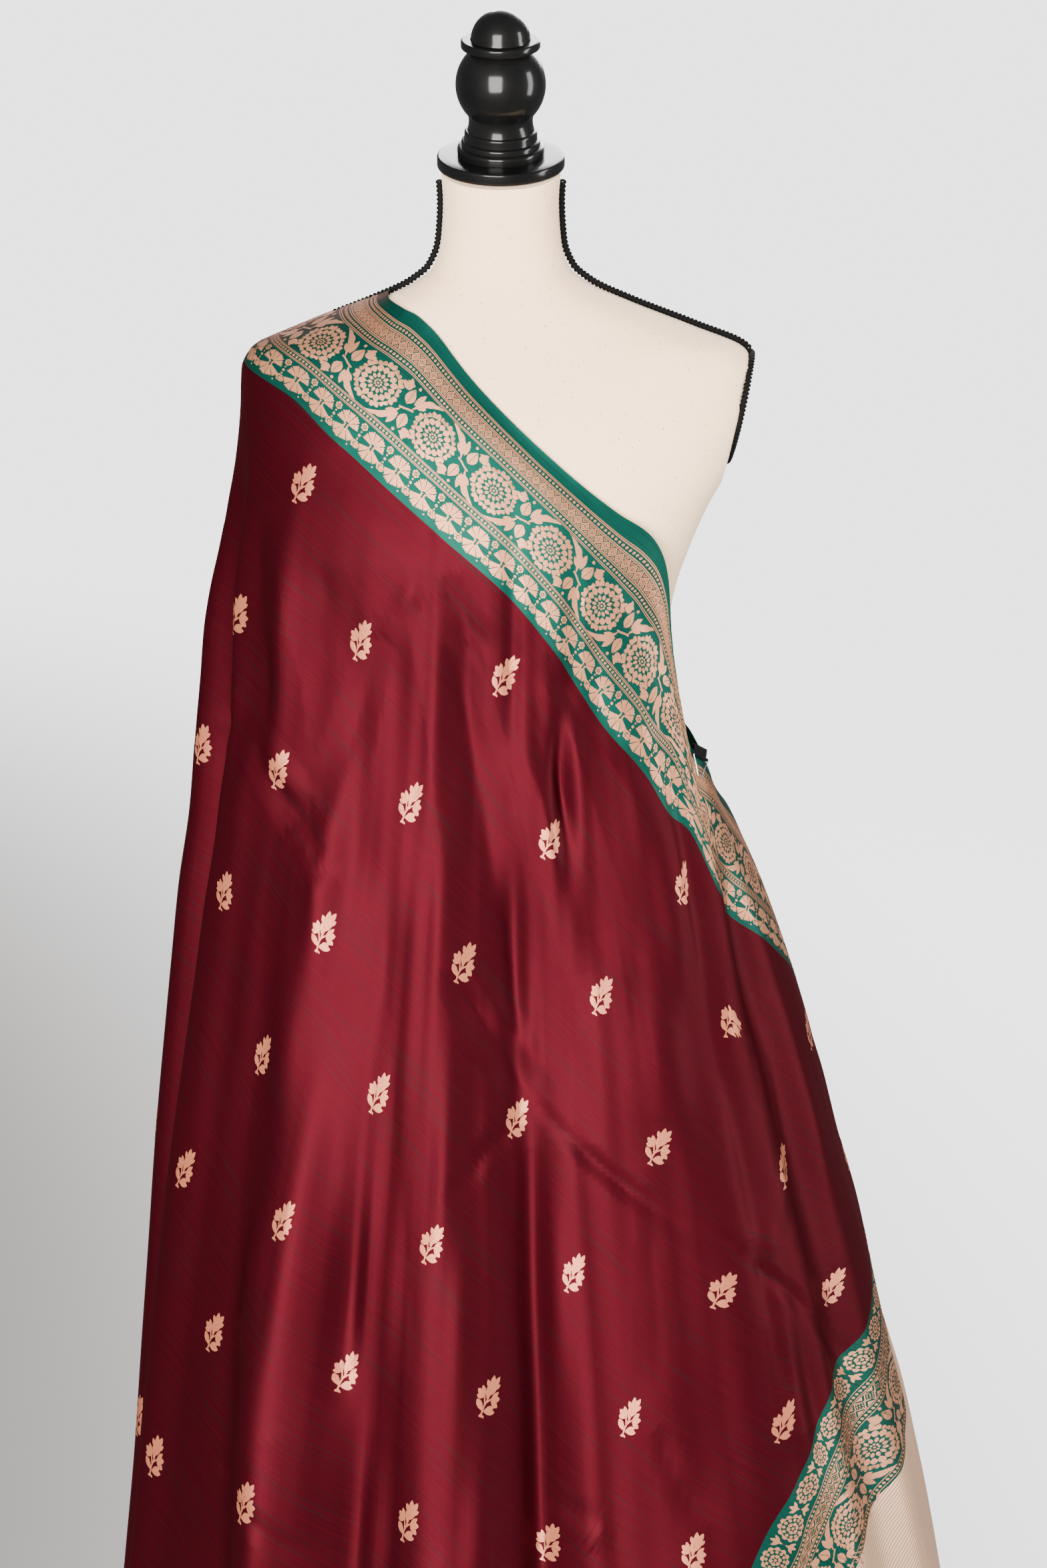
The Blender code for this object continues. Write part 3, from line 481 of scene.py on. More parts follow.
EDGES["back_selvedge"] = mirrored(
    "front_selvedge", 8, (-232, 1.245), (-245, 1.21), (-258, 1.165), (-270, 1.118), (-280, 1.082),
    (-288, 1.062), (-292, 1.059), (-294.8, 1.0625), (-298, 1.0705), (-301, 1.077))
EDGES["back_border"] = mirrored(
    "front_border", 10, (-240, 1.02), (-255, 0.99), (-270, 0.965), (-285, 0.95), (-301, 0.945))


def edge(name, azimuth):
    """Height of one of the cloth's lines at each azimuth, never under the hem."""
    table = np.array(EDGES[name])
    return np.maximum(HEM, smooth_at(table[:, 0], table[:, 1], azimuth))


print("edges:", ", ".join(EDGES))


# %% [markdown]
# ## Creases
#
# Folds say how the cloth hangs, and creases say what it has been through. Silk this heavy
# has soft drag lines that run from where it is held, and sharper ones from having lain folded
# in a cupboard. A crease could be simulated, but then nobody decides where it falls, so each
# is drawn here: a line on the drape with a width, a depth and a bow. Its two ends
# fade out, and its depth wanders, because an even groove looks pressed by a tool. The sides
# that the camera doesn't see get creases of the same kinds.

# %% Creases
# start azimuth and height, end azimuth and height, half width, depth and bow in millimetres
FRONT_CREASES = (
    (-21.7, 1.21, 10.8, 0.769, 19, -5.6, 9), (4.5, 1.13, 23.4, 0.909, 12, 2.4, 2),
    (13.8, 1.125, 27.2, 0.904, 12, -3.6, 5), (-42.5, 1.011, -26.5, 0.48, 24, 4, 2),
    (-59.7, 1.048, -41.3, 0.536, 34, -5, -3), (14.5, 1.159, 33.6, 1.078, 8, -1.9, 2),
    (22.7, 1.159, 50.5, 1.019, 9, -2.2, 4), (35.2, 0.991, 33.2, 0.755, 8, -1.6, 3),
    (32.3, 0.74, 30.4, 0.57, 9, -1.4, 0), (49.4, 1.022, 38.2, 0.789, 18, 2.8, 0),
    (65.5, 0.98, 50.7, 0.682, 17, -4.2, 4), (49.7, 0.688, 52.5, 0.527, 14, -4, -3),
    (71.2, 0.87, 71.4, 0.631, 18, 3, 4), (-14.1, 0.914, 9, 0.803, 10, -3.4, 0),
    (-10.4, 0.921, 9.9, 0.827, 8, 1.6, 0), (8.4, 0.808, 48.9, 0.67, 7, -2.9, -3),
    (48.5, 0.672, 69.1, 0.551, 7, -2.4, 3), (-66.7, 1.096, -45.8, 0.998, 9, -2.8, -3),
    (-64.3, 1.101, -45, 1.01, 8, 1.6, -3), (-83, 1.097, -65.3, 1.087, 8, -1.8, 0),
    (-36.3, 1.191, -46.8, 1.019, 10, -2.4, -3), (-25.8, 1.225, -36.4, 1.172, 8, 1.6, 0),
    (-69.9, 1.263, -60.7, 1.053, 15, -6, 3), (-85.9, 1.249, -80.8, 1.075, 15, 4, -2),
    (-53.5, 1.233, -45.1, 1.144, 13, -1.3, 2), (-11, 1.173, 10.5, 1.056, 10, -1.6, 4),
    (-2.2, 1.136, 27.1, 0.941, 10, 1.4, 4), (29.1, 0.544, 34.8, 0.463, 9, -2, 0),
    (-53, 1.325, -14, 1.232, 12, -2, -5), (-47, 1.4, -30, 1.33, 10, -1.6, 3),
    (-20, 1.225, 4, 1.15, 10, -1.8, -6), (38, 1.225, 56, 1.105, 10, -2.2, 7),
    (24, 1.24, 55, 1.12, 12, 1.6, 9), (47, 1.18, 57, 1.085, 9, 2, -5),
    (-47.3, 0.998, -52.2, 1.072, 8, -1.5, 2), (-47.3, 0.998, -54.7, 1.016, 7, 1.3, -1),
    (-47.3, 0.998, -42.1, 0.983, 7, -1.3, -1), (-47.3, 0.998, -44, 0.93, 10, 1.6, 2),
    (49.5, 0.665, 64.2, 0.753, 8, 1, -3), (-12.1, 0.729, 6.3, 0.801, 7, -2, 3),
    (-53.1, 0.491, -43.3, 0.484, 6, -2, 1), (-43.3, 0.484, -31.9, 0.426, 7, -2.2, 2),
    (10.3, 0.48, 18.6, 0.469, 8, -1.4, 2), (18.6, 0.469, 16.4, 0.45, 8, 1, 1),
    (5, 0.42, 9, 0.15, 24, -3.4, 6), (-15, 0.45, -12, 0.12, 22, 3, -5),
    (-36, 0.42, -36, 0.14, 22, -3.4, 7), (27, 0.42, 34, 0.13, 22, 3.2, 6),
    (70, 1.045, 92, 0.96, 10, -1.8, 3), (88, 0.8, 92, 0.6, 18, 2.6, 6),
    (80, 0.54, 88, 0.26, 20, -3.4, -7), (98, 0.56, 104, 0.28, 20, 3.2, 7),
    (56, 0.3, 62, 0.06, 20, -3.2, 6), (112, 0.64, 118, 0.38, 18, -3, 6),
    (104, 0.93, 112, 0.78, 13, 2.4, 5), (126, 0.72, 134, 0.52, 17, 2.8, -5),
    (92, 0.3, 96, 0.05, 22, 3.2, -6), (146, 0.62, 150, 0.48, 15, -2.4, 4),
)
BACK_CREASES = (
    (-100, 1.4, -104, 1.06, 19, -4.8, -4), (-113, 1.34, -111, 1.05, 17, 3.7, 5),
    (-127, 1.325, -166, 1.232, 16, -2.1, 5), (-134, 1.4, -152, 1.33, 9, -1.8, -3),
    (-150, 1.238, -141, 1.06, 17, 3.2, 5), (-157, 1.23, -166, 1.11, 8, -3.2, -4),
    (-174, 1.22, -182, 1.01, 16, 2.4, 6), (-190, 1.17, -194, 0.94, 19, -2.6, -6),
    (-205, 1.12, -208, 0.9, 20, 2.2, 6), (-226, 1.24, -288, 1.085, 10, -2.2, -8),
    (-236, 1.19, -290, 1.07, 9, 2, -6), (-222, 1.06, -226, 0.86, 19, -2.2, 5),
    (-240, 1, -242, 0.82, 19, 2.1, -5), (-258, 0.96, -260, 0.76, 17, -2.1, 5),
    (-131, 1, -128, 0.78, 20, -3, 5), (-150, 0.96, -150, 0.7, 20, 2.7, -6),
    (-168, 0.88, -170, 0.62, 22, -2.7, 6), (-188, 0.84, -190, 0.58, 22, 2.7, -6),
    (-190, 0.826, -229, 0.665, 5, -2.4, 3), (-168, 0.729, -186, 0.801, 6, -2.2, -3),
    (-133, 0.998, -124, 1.06, 7, -2.4, 2), (-133, 0.998, -145, 0.975, 7, 2.4, 1),
    (-204, 0.78, -206, 0.54, 22, -2.6, 5), (-224, 0.72, -226, 0.48, 22, 2.4, -5),
    (-118, 0.82, -114, 0.56, 20, 3, 5), (-100, 0.9, -98, 0.6, 19, -2.9, -5),
    (-132, 0.56, -130, 0.32, 23, -3.2, 6), (-150, 0.48, -151, 0.18, 23, 3, -6),
    (-170, 0.45, -171, 0.14, 25, -3.2, 6), (-190, 0.42, -192, 0.12, 25, 3, -6),
    (-212, 0.42, -214, 0.13, 23, -3, 6), (-236, 0.44, -237, 0.15, 23, 2.9, -5),
    (-258, 0.48, -259, 0.18, 23, -2.7, 5), (-280, 0.48, -282, 0.2, 22, 2.4, -5),
)


# a crease's profile: how blunt its ridge is, how wide its foot, how hollow its flanks
RIDGE_BLUNT, RIDGE_FOOT, RIDGE_HOLLOW = 0.16, 2.6, 1.25
END_TAPER, END_CUT = 0.7, 30.0
WANDER, WANDER_TURNS = 0.25, 1.6


def crease_rise(creases, azimuth, height):
    """How far the creases move the cloth out or in at a place."""
    rise = np.zeros(np.broadcast(azimuth, height).shape)
    for number, (from_az, from_z, to_az, to_z, width, depth, bow) in enumerate(creases):
        reach = float(outer_radius(0.5 * (from_az + to_az), 0.5 * (from_z + to_z)))
        x, y = np.radians(azimuth - from_az) * reach, height - from_z
        run_x, run_y = math.radians(to_az - from_az) * reach, to_z - from_z
        length = math.hypot(run_x, run_y)
        along = (x * run_x + y * run_y) / length**2
        inside = np.clip(along, 0.0, 1.0)
        wander = WANDER * np.sin(2 * math.pi * (WANDER_TURNS * inside + 0.37 * number))
        across = (y * run_x - x * run_y) / length
        across = across - bow / 1000 * 4 * inside * (1 - inside) - 0.15 * wander * width / 1000
        fade = np.sin(math.pi * inside) ** END_TAPER * (1 + wander)
        half = width / 1000 * (0.75 + 0.5 * inside)
        slope = np.sqrt((across / half) ** 2 / RIDGE_FOOT + RIDGE_BLUNT**2)
        tent = np.clip(1 + RIDGE_BLUNT - slope, 0.0, 1.0) ** RIDGE_HOLLOW
        near = tent * np.exp(-(np.maximum(0.0, np.abs(along - 0.5) - 0.5) * END_CUT) ** 2)
        rise = rise + depth / 1000 * fade * near
    return rise


print("creases:", len(FRONT_CREASES), "in front,", len(BACK_CREASES), "behind")


# %% [markdown]
# ## Trimming the folds
#
# Silk shows its folds by where it shines: a face that looks at the light glows, and one that
# turns a little away goes dark. The frame's folds are plain bumps, so their bands of light
# fell beside those of the real cloth. A coarse net of small moves over the front sets that
# right. Its numbers were worked out outside this script, from the places where the real
# cloth's light and dark bands begin and end and from how a face's turn changes its light. They
# stay under 15 millimetres, so the cloth keeps to the frame.

# %% Fold trims


def soft_read(grid, row, col):
    """Read a grid between its corners on smooth curves."""
    def weights(t):
        return (-0.5 * t + t**2 - 0.5 * t**3, 1 - 2.5 * t**2 + 1.5 * t**3,
                0.5 * t + 2 * t**2 - 1.5 * t**3, -0.5 * t**2 + 0.5 * t**3)

    i = np.clip(np.floor(row).astype(int), 0, grid.shape[0] - 2)
    j = np.clip(np.floor(col).astype(int), 0, grid.shape[1] - 2)
    total = 0.0
    for a, down in zip(range(-1, 3), weights(row - i)):
        for b, across in zip(range(-1, 3), weights(col - j)):
            ii, jj = np.clip(i + a, 0, grid.shape[0] - 1), np.clip(j + b, 0, grid.shape[1] - 1)
            total = total + (down * across)[..., None] * grid[ii, jj]
    return total


# how far the folds move out, in millimetres: a row for each 0.1 m of height from 0.35 m up,
# a column for each four degrees from -76 on
FOLD_TRIM_START, FOLD_TRIM_STEP = (0.15, -76.0), (0.1, 4.0)
FOLD_TRIM = np.array([
    (0, 0, 0, 0, 0, 0, 0, 0, 2, 7, 2, 1, -1, 2, -1, -4, -4, -1, 0, 0, 0, -2, 1, 0, -1, -1, -2, -4, -2, 2, 5,
     2, 1, 0, 0, 0, 0, 0),
    (0, 0, 0, 0, -1, -1, 0, 2, 7, 14, 11, 5, -2, 2, -8, -12, -13, -8, 1, -1, -1, -7, -1, 0, -4, -5, -9, -10,
     -7, 3, 12, 14, 6, 0, 0, 0, 0, 0),
    (0, 0, -1, -1, -1, 0, 1, 5, 12, 14, 10, 2, -1, -2, -10, -13, -12, -5, -1, -2, -2, -8, -3, -3, -5, -7,
     -10, -11, -9, -1, 10, 14, 15, -2, 0, 0, 0, 0),
    (0, -1, -1, 0, 0, 1, 3, 9, 9, 12, 5, -7, 3, 1, -9, -11, -8, -1, -2, -3, -3, -6, 1, -3, -5, -7, -10, -10,
     -7, 2, 11, 14, 10, 0, 0, 0, 0, 0),
    (0, -2, -4, -1, 1, 2, 4, 4, 5, 8, 3, 2, 7, 1, -7, -8, -2, -2, -3, -4, -2, -4, -2, -3, -4, -5, -8, -7,
     -3, 5, 10, 11, 6, 1, -1, 0, 0, 0),
    (0, -3, -6, -3, 2, 4, 4, 3, 0, 1, 2, 6, 9, 2, -5, -4, -1, -1, -3, -2, -1, 2, -3, -6, -4, -3, -5, -3, 3,
     5, 4, 3, 2, -1, 0, 0, 0, 0),
    (0, -3, -7, -3, 3, 4, 2, 1, 4, 2, 3, 6, 6, 0, -4, -1, -1, -1, -3, -2, -2, 1, -1, -3, -3, -5, -7, -6, -1,
     4, 9, 7, 2, -1, 0, 0, 0, 0),
    (0, -2, -5, -1, 4, 3, 1, 1, 3, 1, 2, 3, 2, -1, -1, -1, 0, -1, -2, -2, -1, -1, -2, -2, -8, -3, -6, -5, 0,
     7, 9, 6, 0, 0, 0, 0, 0, 0),
    (0, -1, -1, 3, 8, 2, -1, -1, -1, 0, 0, 0, 0, -1, 1, 0, -1, 0, 1, 0, -3, -1, -1, 0, 0, -2, -1, -1, 1, 1,
     1, 1, 0, 0, 0, 0, 0, 0),
])
# two rows under them and two over them, in which the moves fade out
FOLD_TRIM = np.vstack([0 * FOLD_TRIM[:1], 0.5 * FOLD_TRIM[:1], FOLD_TRIM, 0.3 * FOLD_TRIM[-1:],
                       0 * FOLD_TRIM[:1]])


def fold_trim(azimuth, height):
    """How far the front's big folds move at a place, in metres."""
    azimuth, height = np.broadcast_arrays(azimuth, height)
    row = np.clip((height - FOLD_TRIM_START[0]) / FOLD_TRIM_STEP[0], 0.0, len(FOLD_TRIM) - 1.001)
    col = (azimuth - FOLD_TRIM_START[1]) / FOLD_TRIM_STEP[1]
    inside = ramp(col, 0.0, 1.0) * ramp(col, FOLD_TRIM.shape[1] - 1.0, FOLD_TRIM.shape[1] - 2.0)
    col = np.clip(col, 0.0, FOLD_TRIM.shape[1] - 1.001)
    return 0.001 * inside * soft_read(FOLD_TRIM[..., None], row, col)[..., 0]


def away_from_clip(azimuth, height):
    """0 at the clip, where the cloth is pinched flat, and 1 a hand's width from it."""
    azimuth = np.where(azimuth < -180.0, azimuth + 360.0, azimuth)
    return 1 - np.exp(-(((azimuth - CLIP_AZ) / 7.0) ** 4 + ((height - CLIP_Z) / 0.024) ** 4))


print(f"the folds move {FOLD_TRIM.min():.0f} to {FOLD_TRIM.max():.0f} mm")


# %% [markdown]
# The finished surface is the plain one with all of this added. Its upper edge hangs by its own
# weight, so it sinks toward the form, and behind the waist the border dips a little.

# %% Finished surfaces
# degrees from the shoulder, and how far the upper selvedge sinks toward the form there
SINK = np.array([(0, 0.03), (10, 0.029), (16, 0.026), (22, 0.022), (28, 0.017), (34, 0.012),
                 (46, 0.008), (62, 0.006), (110, 0.005), (128, 0.0045), (144, 0.0)])
SINK_DEPTH = 0.022


def sunk(selvedge, azimuth, height):
    """The upper edge has weight of its own, so it lies down on the form."""
    depth = np.interp(np.abs(azimuth - SEAM_AZ), SINK[:, 0], SINK[:, 1])
    return -depth * np.exp(-(((edge(selvedge, azimuth) - height) / SINK_DEPTH) ** 2))


def front_radius(azimuth, height):
    moved = crease_rise(FRONT_CREASES, azimuth, height) + fold_trim(azimuth, height)
    sinking = sunk("front_selvedge", azimuth, height)
    return outer_radius(azimuth, height) + sinking + away_from_clip(azimuth, height) * moved


# where the border behind the waist begins and ends to dip, and by how much
DIP, DIP_AZ, DIP_Z = 0.011, (-288.0, -278.0, -245.0, -225.0), (1.075, 1.1, 1.18, 1.22)


def between(value, stops):
    return ramp(value, stops[0], stops[1]) * ramp(value, stops[3], stops[2])


def back_radius(azimuth, height):
    dip = DIP * between(azimuth, DIP_AZ) * between(height, DIP_Z)
    moved = away_from_clip(azimuth, height) * crease_rise(BACK_CREASES, azimuth, height)
    return inner_radius(azimuth, height) - dip + sunk("back_selvedge", azimuth, height) + moved


drop = float(outer_radius(SEAM_AZ, 1.436) - front_radius(SEAM_AZ, 1.436))
print(f"the upper edge sinks {drop * 1000:.0f} mm at the shoulder")


# %% [markdown]
# ## Laying the cloth out flat
#
# A woven pattern knows nothing of the body. It runs along the cloth, so each place on the
# drape needs its place on the flat cloth: how far along it, and how far across it from the
# upper edge. The drape can't be unrolled like paper, since it bends two ways at once. So
# a coarse net of triangles is relaxed in the plane until each is as near as possible to its
# own size and shape. In turns, each triangle finds its best rotation and all corners are
# solved for together. The border's lines, the band's lines and the places of some three dozen
# woven flowers hold the net to what the photograph shows.

# %% Flat cloth
BORDER_WIDTH = 0.121
CLOTH_WIDTH = 1.15
BAND_START, BAND_END = 0.88, 0.98
BORDER_ROWS, FIELD_ROWS = 3, 21
FLOWER_STEP_ALONG, FLOWER_STEP_ACROSS, FLOWER_START = 0.118, 0.0615, 0.16
# a first guess unrolls the cloth from a pole of this radius, from the height of the shoulder
UNROLL_RADIUS, SHOULDER_Z = 0.22, 1.443
# how hard the net is held to each kind of place, and how many rounds it relaxes
EDGE_HOLD, BAND_HOLD, SEAM_HOLD, FLOWER_HOLD, HEM_HOLD = 30.0, 8.0, 6.0, 3.0, 2.0
ROUNDS = 80
# column and row of a flower in the lattice, azimuth and height where the photograph shows it
FLOWERS_SEEN = (
    (0, 0, -59.8, 1.292), (-1, 1, -67.6, 1.181), (0, 1, -43, 1.175), (1, 1, -0.2, 1.146),
    (-1, 2, -57.4, 1.062), (0, 2, -27.6, 1.045), (1, 2, 16.9, 1.012), (2, 2, 51.4, 0.983),
    (-2, 3, -63.1, 0.96), (-1, 3, -44.9, 0.937), (0, 3, -9.7, 0.918), (1, 3, 28, 0.889),
    (2, 3, 53.5, 0.865), (3, 3, 80.9, 0.821), (-3, 4, -65, 0.862), (-2, 4, -55.5, 0.833),
    (-1, 4, -30.4, 0.81), (0, 4, 5.3, 0.785), (1, 4, 35.3, 0.769), (2, 4, 54.8, 0.749),
    (-3, 5, -64, 0.733), (-2, 5, -43.6, 0.711), (-1, 5, -14.1, 0.704), (0, 5, 17.2, 0.663),
    (1, 5, 42.5, 0.648), (2, 5, 65.1, 0.616), (-3, 6, -57.8, 0.604), (-2, 6, -31.5, 0.585),
    (-1, 6, -1.9, 0.577), (0, 6, 25.6, 0.549), (1, 6, 47.2, 0.533), (-3, 7, -42.2, 0.495),
    (-2, 7, -16.7, 0.484), (-1, 7, 9.7, 0.438), (0, 7, 31.2, 0.448),
)


def column_samples(radius, azimuth, top, bottom, count=90):
    """Heights down one column, and the length of cloth from its top to each."""
    heights = np.linspace(float(top), float(bottom), count)
    points = on_surface(radius, azimuth, heights)
    steps = np.linalg.norm(np.diff(points, axis=0), axis=1)
    return heights, np.concatenate([[0.0], np.cumsum(steps)])


def row_at(radius, azimuth, height, selvedge, border):
    """Row of the coarse net, whole and part, of heights in one column."""
    top, middle = float(edge(selvedge, azimuth)), float(edge(border, azimuth))
    upper, upper_length = column_samples(radius, azimuth, top, middle)
    lower, lower_length = column_samples(radius, azimuth, middle, HEM / 2)
    upper_rows = upper_length / upper_length[-1] * BORDER_ROWS
    lower_rows = BORDER_ROWS + lower_length / lower_length[-1] * FIELD_ROWS
    heights = np.concatenate([upper, lower[1:]])[::-1]
    return np.interp(height, heights, np.concatenate([upper_rows, lower_rows[1:]])[::-1])


def grid_triangles(corner):
    """Two triangles for each cell of a grid of corner numbers."""
    a, b, c, d = corner[:-1, :-1], corner[:-1, 1:], corner[1:, 1:], corner[1:, :-1]
    return np.concatenate([np.stack(three, -1).reshape(-1, 3) for three in ((a, b, c), (a, c, d))])


def relax(points, faces, start, anchors):
    """Flatten a net so that each triangle keeps its size and shape as nearly as it can."""
    corner = points[faces]
    first, second = corner[:, 1] - corner[:, 0], corner[:, 2] - corner[:, 0]
    base = np.linalg.norm(first, axis=1)
    along = (first * second).sum(1) / base
    flat = np.zeros((len(faces), 3, 2))
    flat[:, 1, 0], flat[:, 2, 0] = base, along
    flat[:, 2, 1] = np.sqrt(np.maximum(1e-12, (second**2).sum(1) - along**2))
    count = len(points)
    net = np.zeros((count, count))
    edges = []
    for k in range(3):
        i, j = faces[:, k], faces[:, (k + 1) % 3]
        to_i = flat[:, k] - flat[:, (k + 2) % 3]
        to_j = flat[:, (k + 1) % 3] - flat[:, (k + 2) % 3]
        cross = np.abs(to_i[:, 0] * to_j[:, 1] - to_i[:, 1] * to_j[:, 0])
        weight = np.clip((to_i * to_j).sum(1) / (cross + 1e-12), 0.02, 5.0)
        edges.append((i, j, weight, flat[:, k] - flat[:, (k + 1) % 3]))
        for one, other, sign in ((i, i, 1), (j, j, 1), (i, j, -1), (j, i, -1)):
            np.add.at(net, (one, other), sign * weight)
    solvers, pulls = [], np.zeros((count, 2))
    for axis in (0, 1):
        matrix = net.copy()
        for nodes, shares, target, strength in anchors:
            if target[axis] is None:
                continue
            matrix[np.ix_(nodes, nodes)] += strength * np.outer(shares, shares)
            pulls[nodes, axis] += strength * shares * target[axis]
        solvers.append(np.linalg.inv(matrix + 1e-9 * np.eye(count)))
    place = start.copy()
    for _ in range(ROUNDS):
        shape = np.zeros((len(faces), 2, 2))
        for i, j, weight, rest in edges:
            moved = place[i] - place[j]
            shape += weight[:, None, None] * moved[:, :, None] * rest[:, None, :]
        left, _, right = np.linalg.svd(shape)
        turn = np.sign(np.linalg.det(left @ right))
        left[:, :, 1] *= turn[:, None]
        turns = left @ right
        pull = pulls.copy()
        for i, j, weight, rest in edges:
            wanted = weight[:, None] * np.einsum("fab,fb->fa", turns, rest)
            np.add.at(pull, i, wanted)
            np.add.at(pull, j, -wanted)
        place = np.stack([solvers[axis] @ pull[:, axis] for axis in (0, 1)], axis=1)
    return place


def net_anchor(azimuths, radius, selvedge, border, azimuth, height, target, strength):
    """An anchor at a place on the drape: the four corners round it, and their shares."""
    across = np.clip(np.interp(azimuth, azimuths, np.arange(len(azimuths))), 0, len(azimuths) - 1.001)
    down = float(row_at(radius, azimuth, height, selvedge, border))
    down = min(max(down, 0.0), BORDER_ROWS + FIELD_ROWS - 0.001)
    i, j = int(down), int(across)
    f, g = down - i, across - j
    nodes = np.array([(i + a) * len(azimuths) + j + b for a in (0, 1) for b in (0, 1)])
    shares = np.array([(1 - f) * (1 - g), (1 - f) * g, f * (1 - g), f * g])
    return nodes, shares, target, strength


def lay_flat(radius, azimuths, selvedge, border, lean, anchors_at, seam=None):
    """The flat place of every corner of a coarse net over one sheet."""
    rows = BORDER_ROWS + FIELD_ROWS + 1
    heights = np.zeros((rows, len(azimuths)))
    for j, azimuth in enumerate(azimuths):
        wanted = np.arange(rows)
        top, middle = float(edge(selvedge, azimuth)), float(edge(border, azimuth))
        fine = np.concatenate([np.linspace(top, middle, 60), np.linspace(middle, HEM / 2, 200)[1:]])
        heights[:, j] = np.interp(wanted, row_at(radius, azimuth, fine, selvedge, border), fine)
    angles = np.broadcast_to(azimuths, heights.shape)
    points = on_surface(radius, angles, heights).reshape(-1, 3)
    corner = np.arange(points.shape[0]).reshape(heights.shape)
    faces = grid_triangles(corner)
    unrolled_x = np.radians(angles - SEAM_AZ) * UNROLL_RADIUS
    unrolled_y = SHOULDER_Z - heights
    start = np.stack([
        unrolled_x * math.cos(lean) + unrolled_y * math.sin(lean),
        unrolled_y * math.cos(lean) - unrolled_x * math.sin(lean),
    ], -1).reshape(-1, 2)
    anchors = []
    for azimuth in azimuths:
        for name, across in ((selvedge, 0.0), (border, BORDER_WIDTH)):
            anchors.append((azimuth, float(edge(name, azimuth)), (None, across), EDGE_HOLD))
    anchors += anchors_at
    anchors = [net_anchor(azimuths, radius, selvedge, border, *row) for row in anchors]
    if seam is not None:
        at_seam = corner[:, list(azimuths).index(SEAM_AZ)]
        anchors += [(at_seam[k:k + 1], np.ones(1), tuple(seam[k]), SEAM_HOLD) for k in range(rows)]
    place = relax(points, faces, start, anchors)
    lengths = np.linalg.norm(points[faces[:, 1]] - points[faces[:, 0]], axis=1)
    flat_lengths = np.linalg.norm(place[faces[:, 1]] - place[faces[:, 0]], axis=1)
    share = flat_lengths / lengths
    print(f"flat net: lengths kept to {np.percentile(share, 10):.2f} to {np.percentile(share, 90):.2f}")
    return azimuths, place.reshape(*heights.shape, 2)


def hem_anchors(azimuths):
    across = CLOTH_WIDTH - BORDER_WIDTH
    return [(a, float(edge("lower_border", a)), (None, across), HEM_HOLD) for a in azimuths]


def front_anchors():
    rows = []
    for azimuth in range(20, 112, 8):
        for name, along in (("band_inner", BAND_START), ("band_outer", BAND_END)):
            height = float(edge(name, azimuth))
            if height > 0.03:
                rows.append((azimuth, height, (along, None), BAND_HOLD))
    rows += hem_anchors((-85, -75, -66, -58))
    for column, row, azimuth, height in FLOWERS_SEEN:
        along = (column + row) * FLOWER_STEP_ALONG
        across = FLOWER_START + (row - column) * FLOWER_STEP_ACROSS
        rows.append((azimuth, height, (along, across), FLOWER_HOLD))
    return rows


FRONT_NET = lay_flat(outer_radius, np.linspace(SEAM_AZ, FRONT_END_AZ, 50), "front_selvedge",
                     "front_border", math.radians(35.0), front_anchors())
BACK_NET = lay_flat(inner_radius, np.linspace(BACK_END_AZ, SEAM_AZ, 39), "back_selvedge",
                    "back_border", math.radians(-28.0), hem_anchors((-95, -105, -120, -135, -150)),
                    seam=FRONT_NET[1][:, 0])
print(f"the shoulder is {FRONT_NET[1][0, 0, 0] * 1000:.0f} mm along the cloth's pattern")


# %% [markdown]
# ## Weaving the sheets
#
# Each stretch becomes one thin closed shell: a fine grid of points on the creased surface, a
# second one half a millimetre inside, and a narrow wall round the rim. The surface is known
# as a formula, so its exact normals are given to the mesh, and two stretches shade as one
# cloth where they meet. Each point also keeps its flat place as a UV map, in metres.

# %% Sheets
CLOTH_THICK = 0.0006
SHOWN_AT_LEAST = 0.004
# how tall the lower border hangs where the hem cuts none of it off
LOWER_BORDER_WHOLE = 0.125


def bound(choose, *names):
    """A line of the cloth, or the higher or lower one of several."""
    return lambda azimuth: choose([edge(name, azimuth) for name in names], axis=0)


# upper line, lower line and rows of cells
FRONT_STRETCHES = {
    "sari_front_border": (
        bound(np.max, "front_selvedge"), bound(np.max, "front_border", "pallu_end"), 26),
    "sari_front_field": (
        bound(np.max, "front_border"), bound(np.max, "lower_border", "band_inner"), 222),
    "sari_lower_border_front": (
        bound(np.max, "lower_border"), bound(np.max, "lower_selvedge"), 24),
    "sari_pallu_band": (
        bound(np.min, "band_inner", "front_border"),
        bound(np.min, "band_outer", "band_inner", "front_border"), 30),
    "sari_pallu_gold": (
        bound(np.min, "band_outer", "front_border"), bound(np.max, "pallu_end"), 84),
}
BACK_STRETCHES = {
    "sari_back_border": (bound(np.max, "back_selvedge"), bound(np.max, "back_border"), 26),
    "sari_back_field": (bound(np.max, "back_border"), bound(np.max, "lower_border"), 195),
    "sari_lower_border_back": (
        bound(np.max, "lower_border"), bound(np.max, "lower_selvedge"), 24),
}


def columns_between(start, end, coarse, fine_from, fine_to, fine):
    """Azimuths from start to end, closer together in one range."""
    stops = [start]
    while stops[-1] < end - 1e-9:
        step = fine if fine_from <= stops[-1] <= fine_to else coarse
        stops.append(min(stops[-1] + step, end))
    return np.array(stops)


FRONT_AZIMUTHS = columns_between(SEAM_AZ, FRONT_END_AZ, 1.15, 48.0, 68.0, 0.6)
BACK_AZIMUTHS = columns_between(BACK_END_AZ, SEAM_AZ, 1.2, -301.0, -285.0, 0.6)


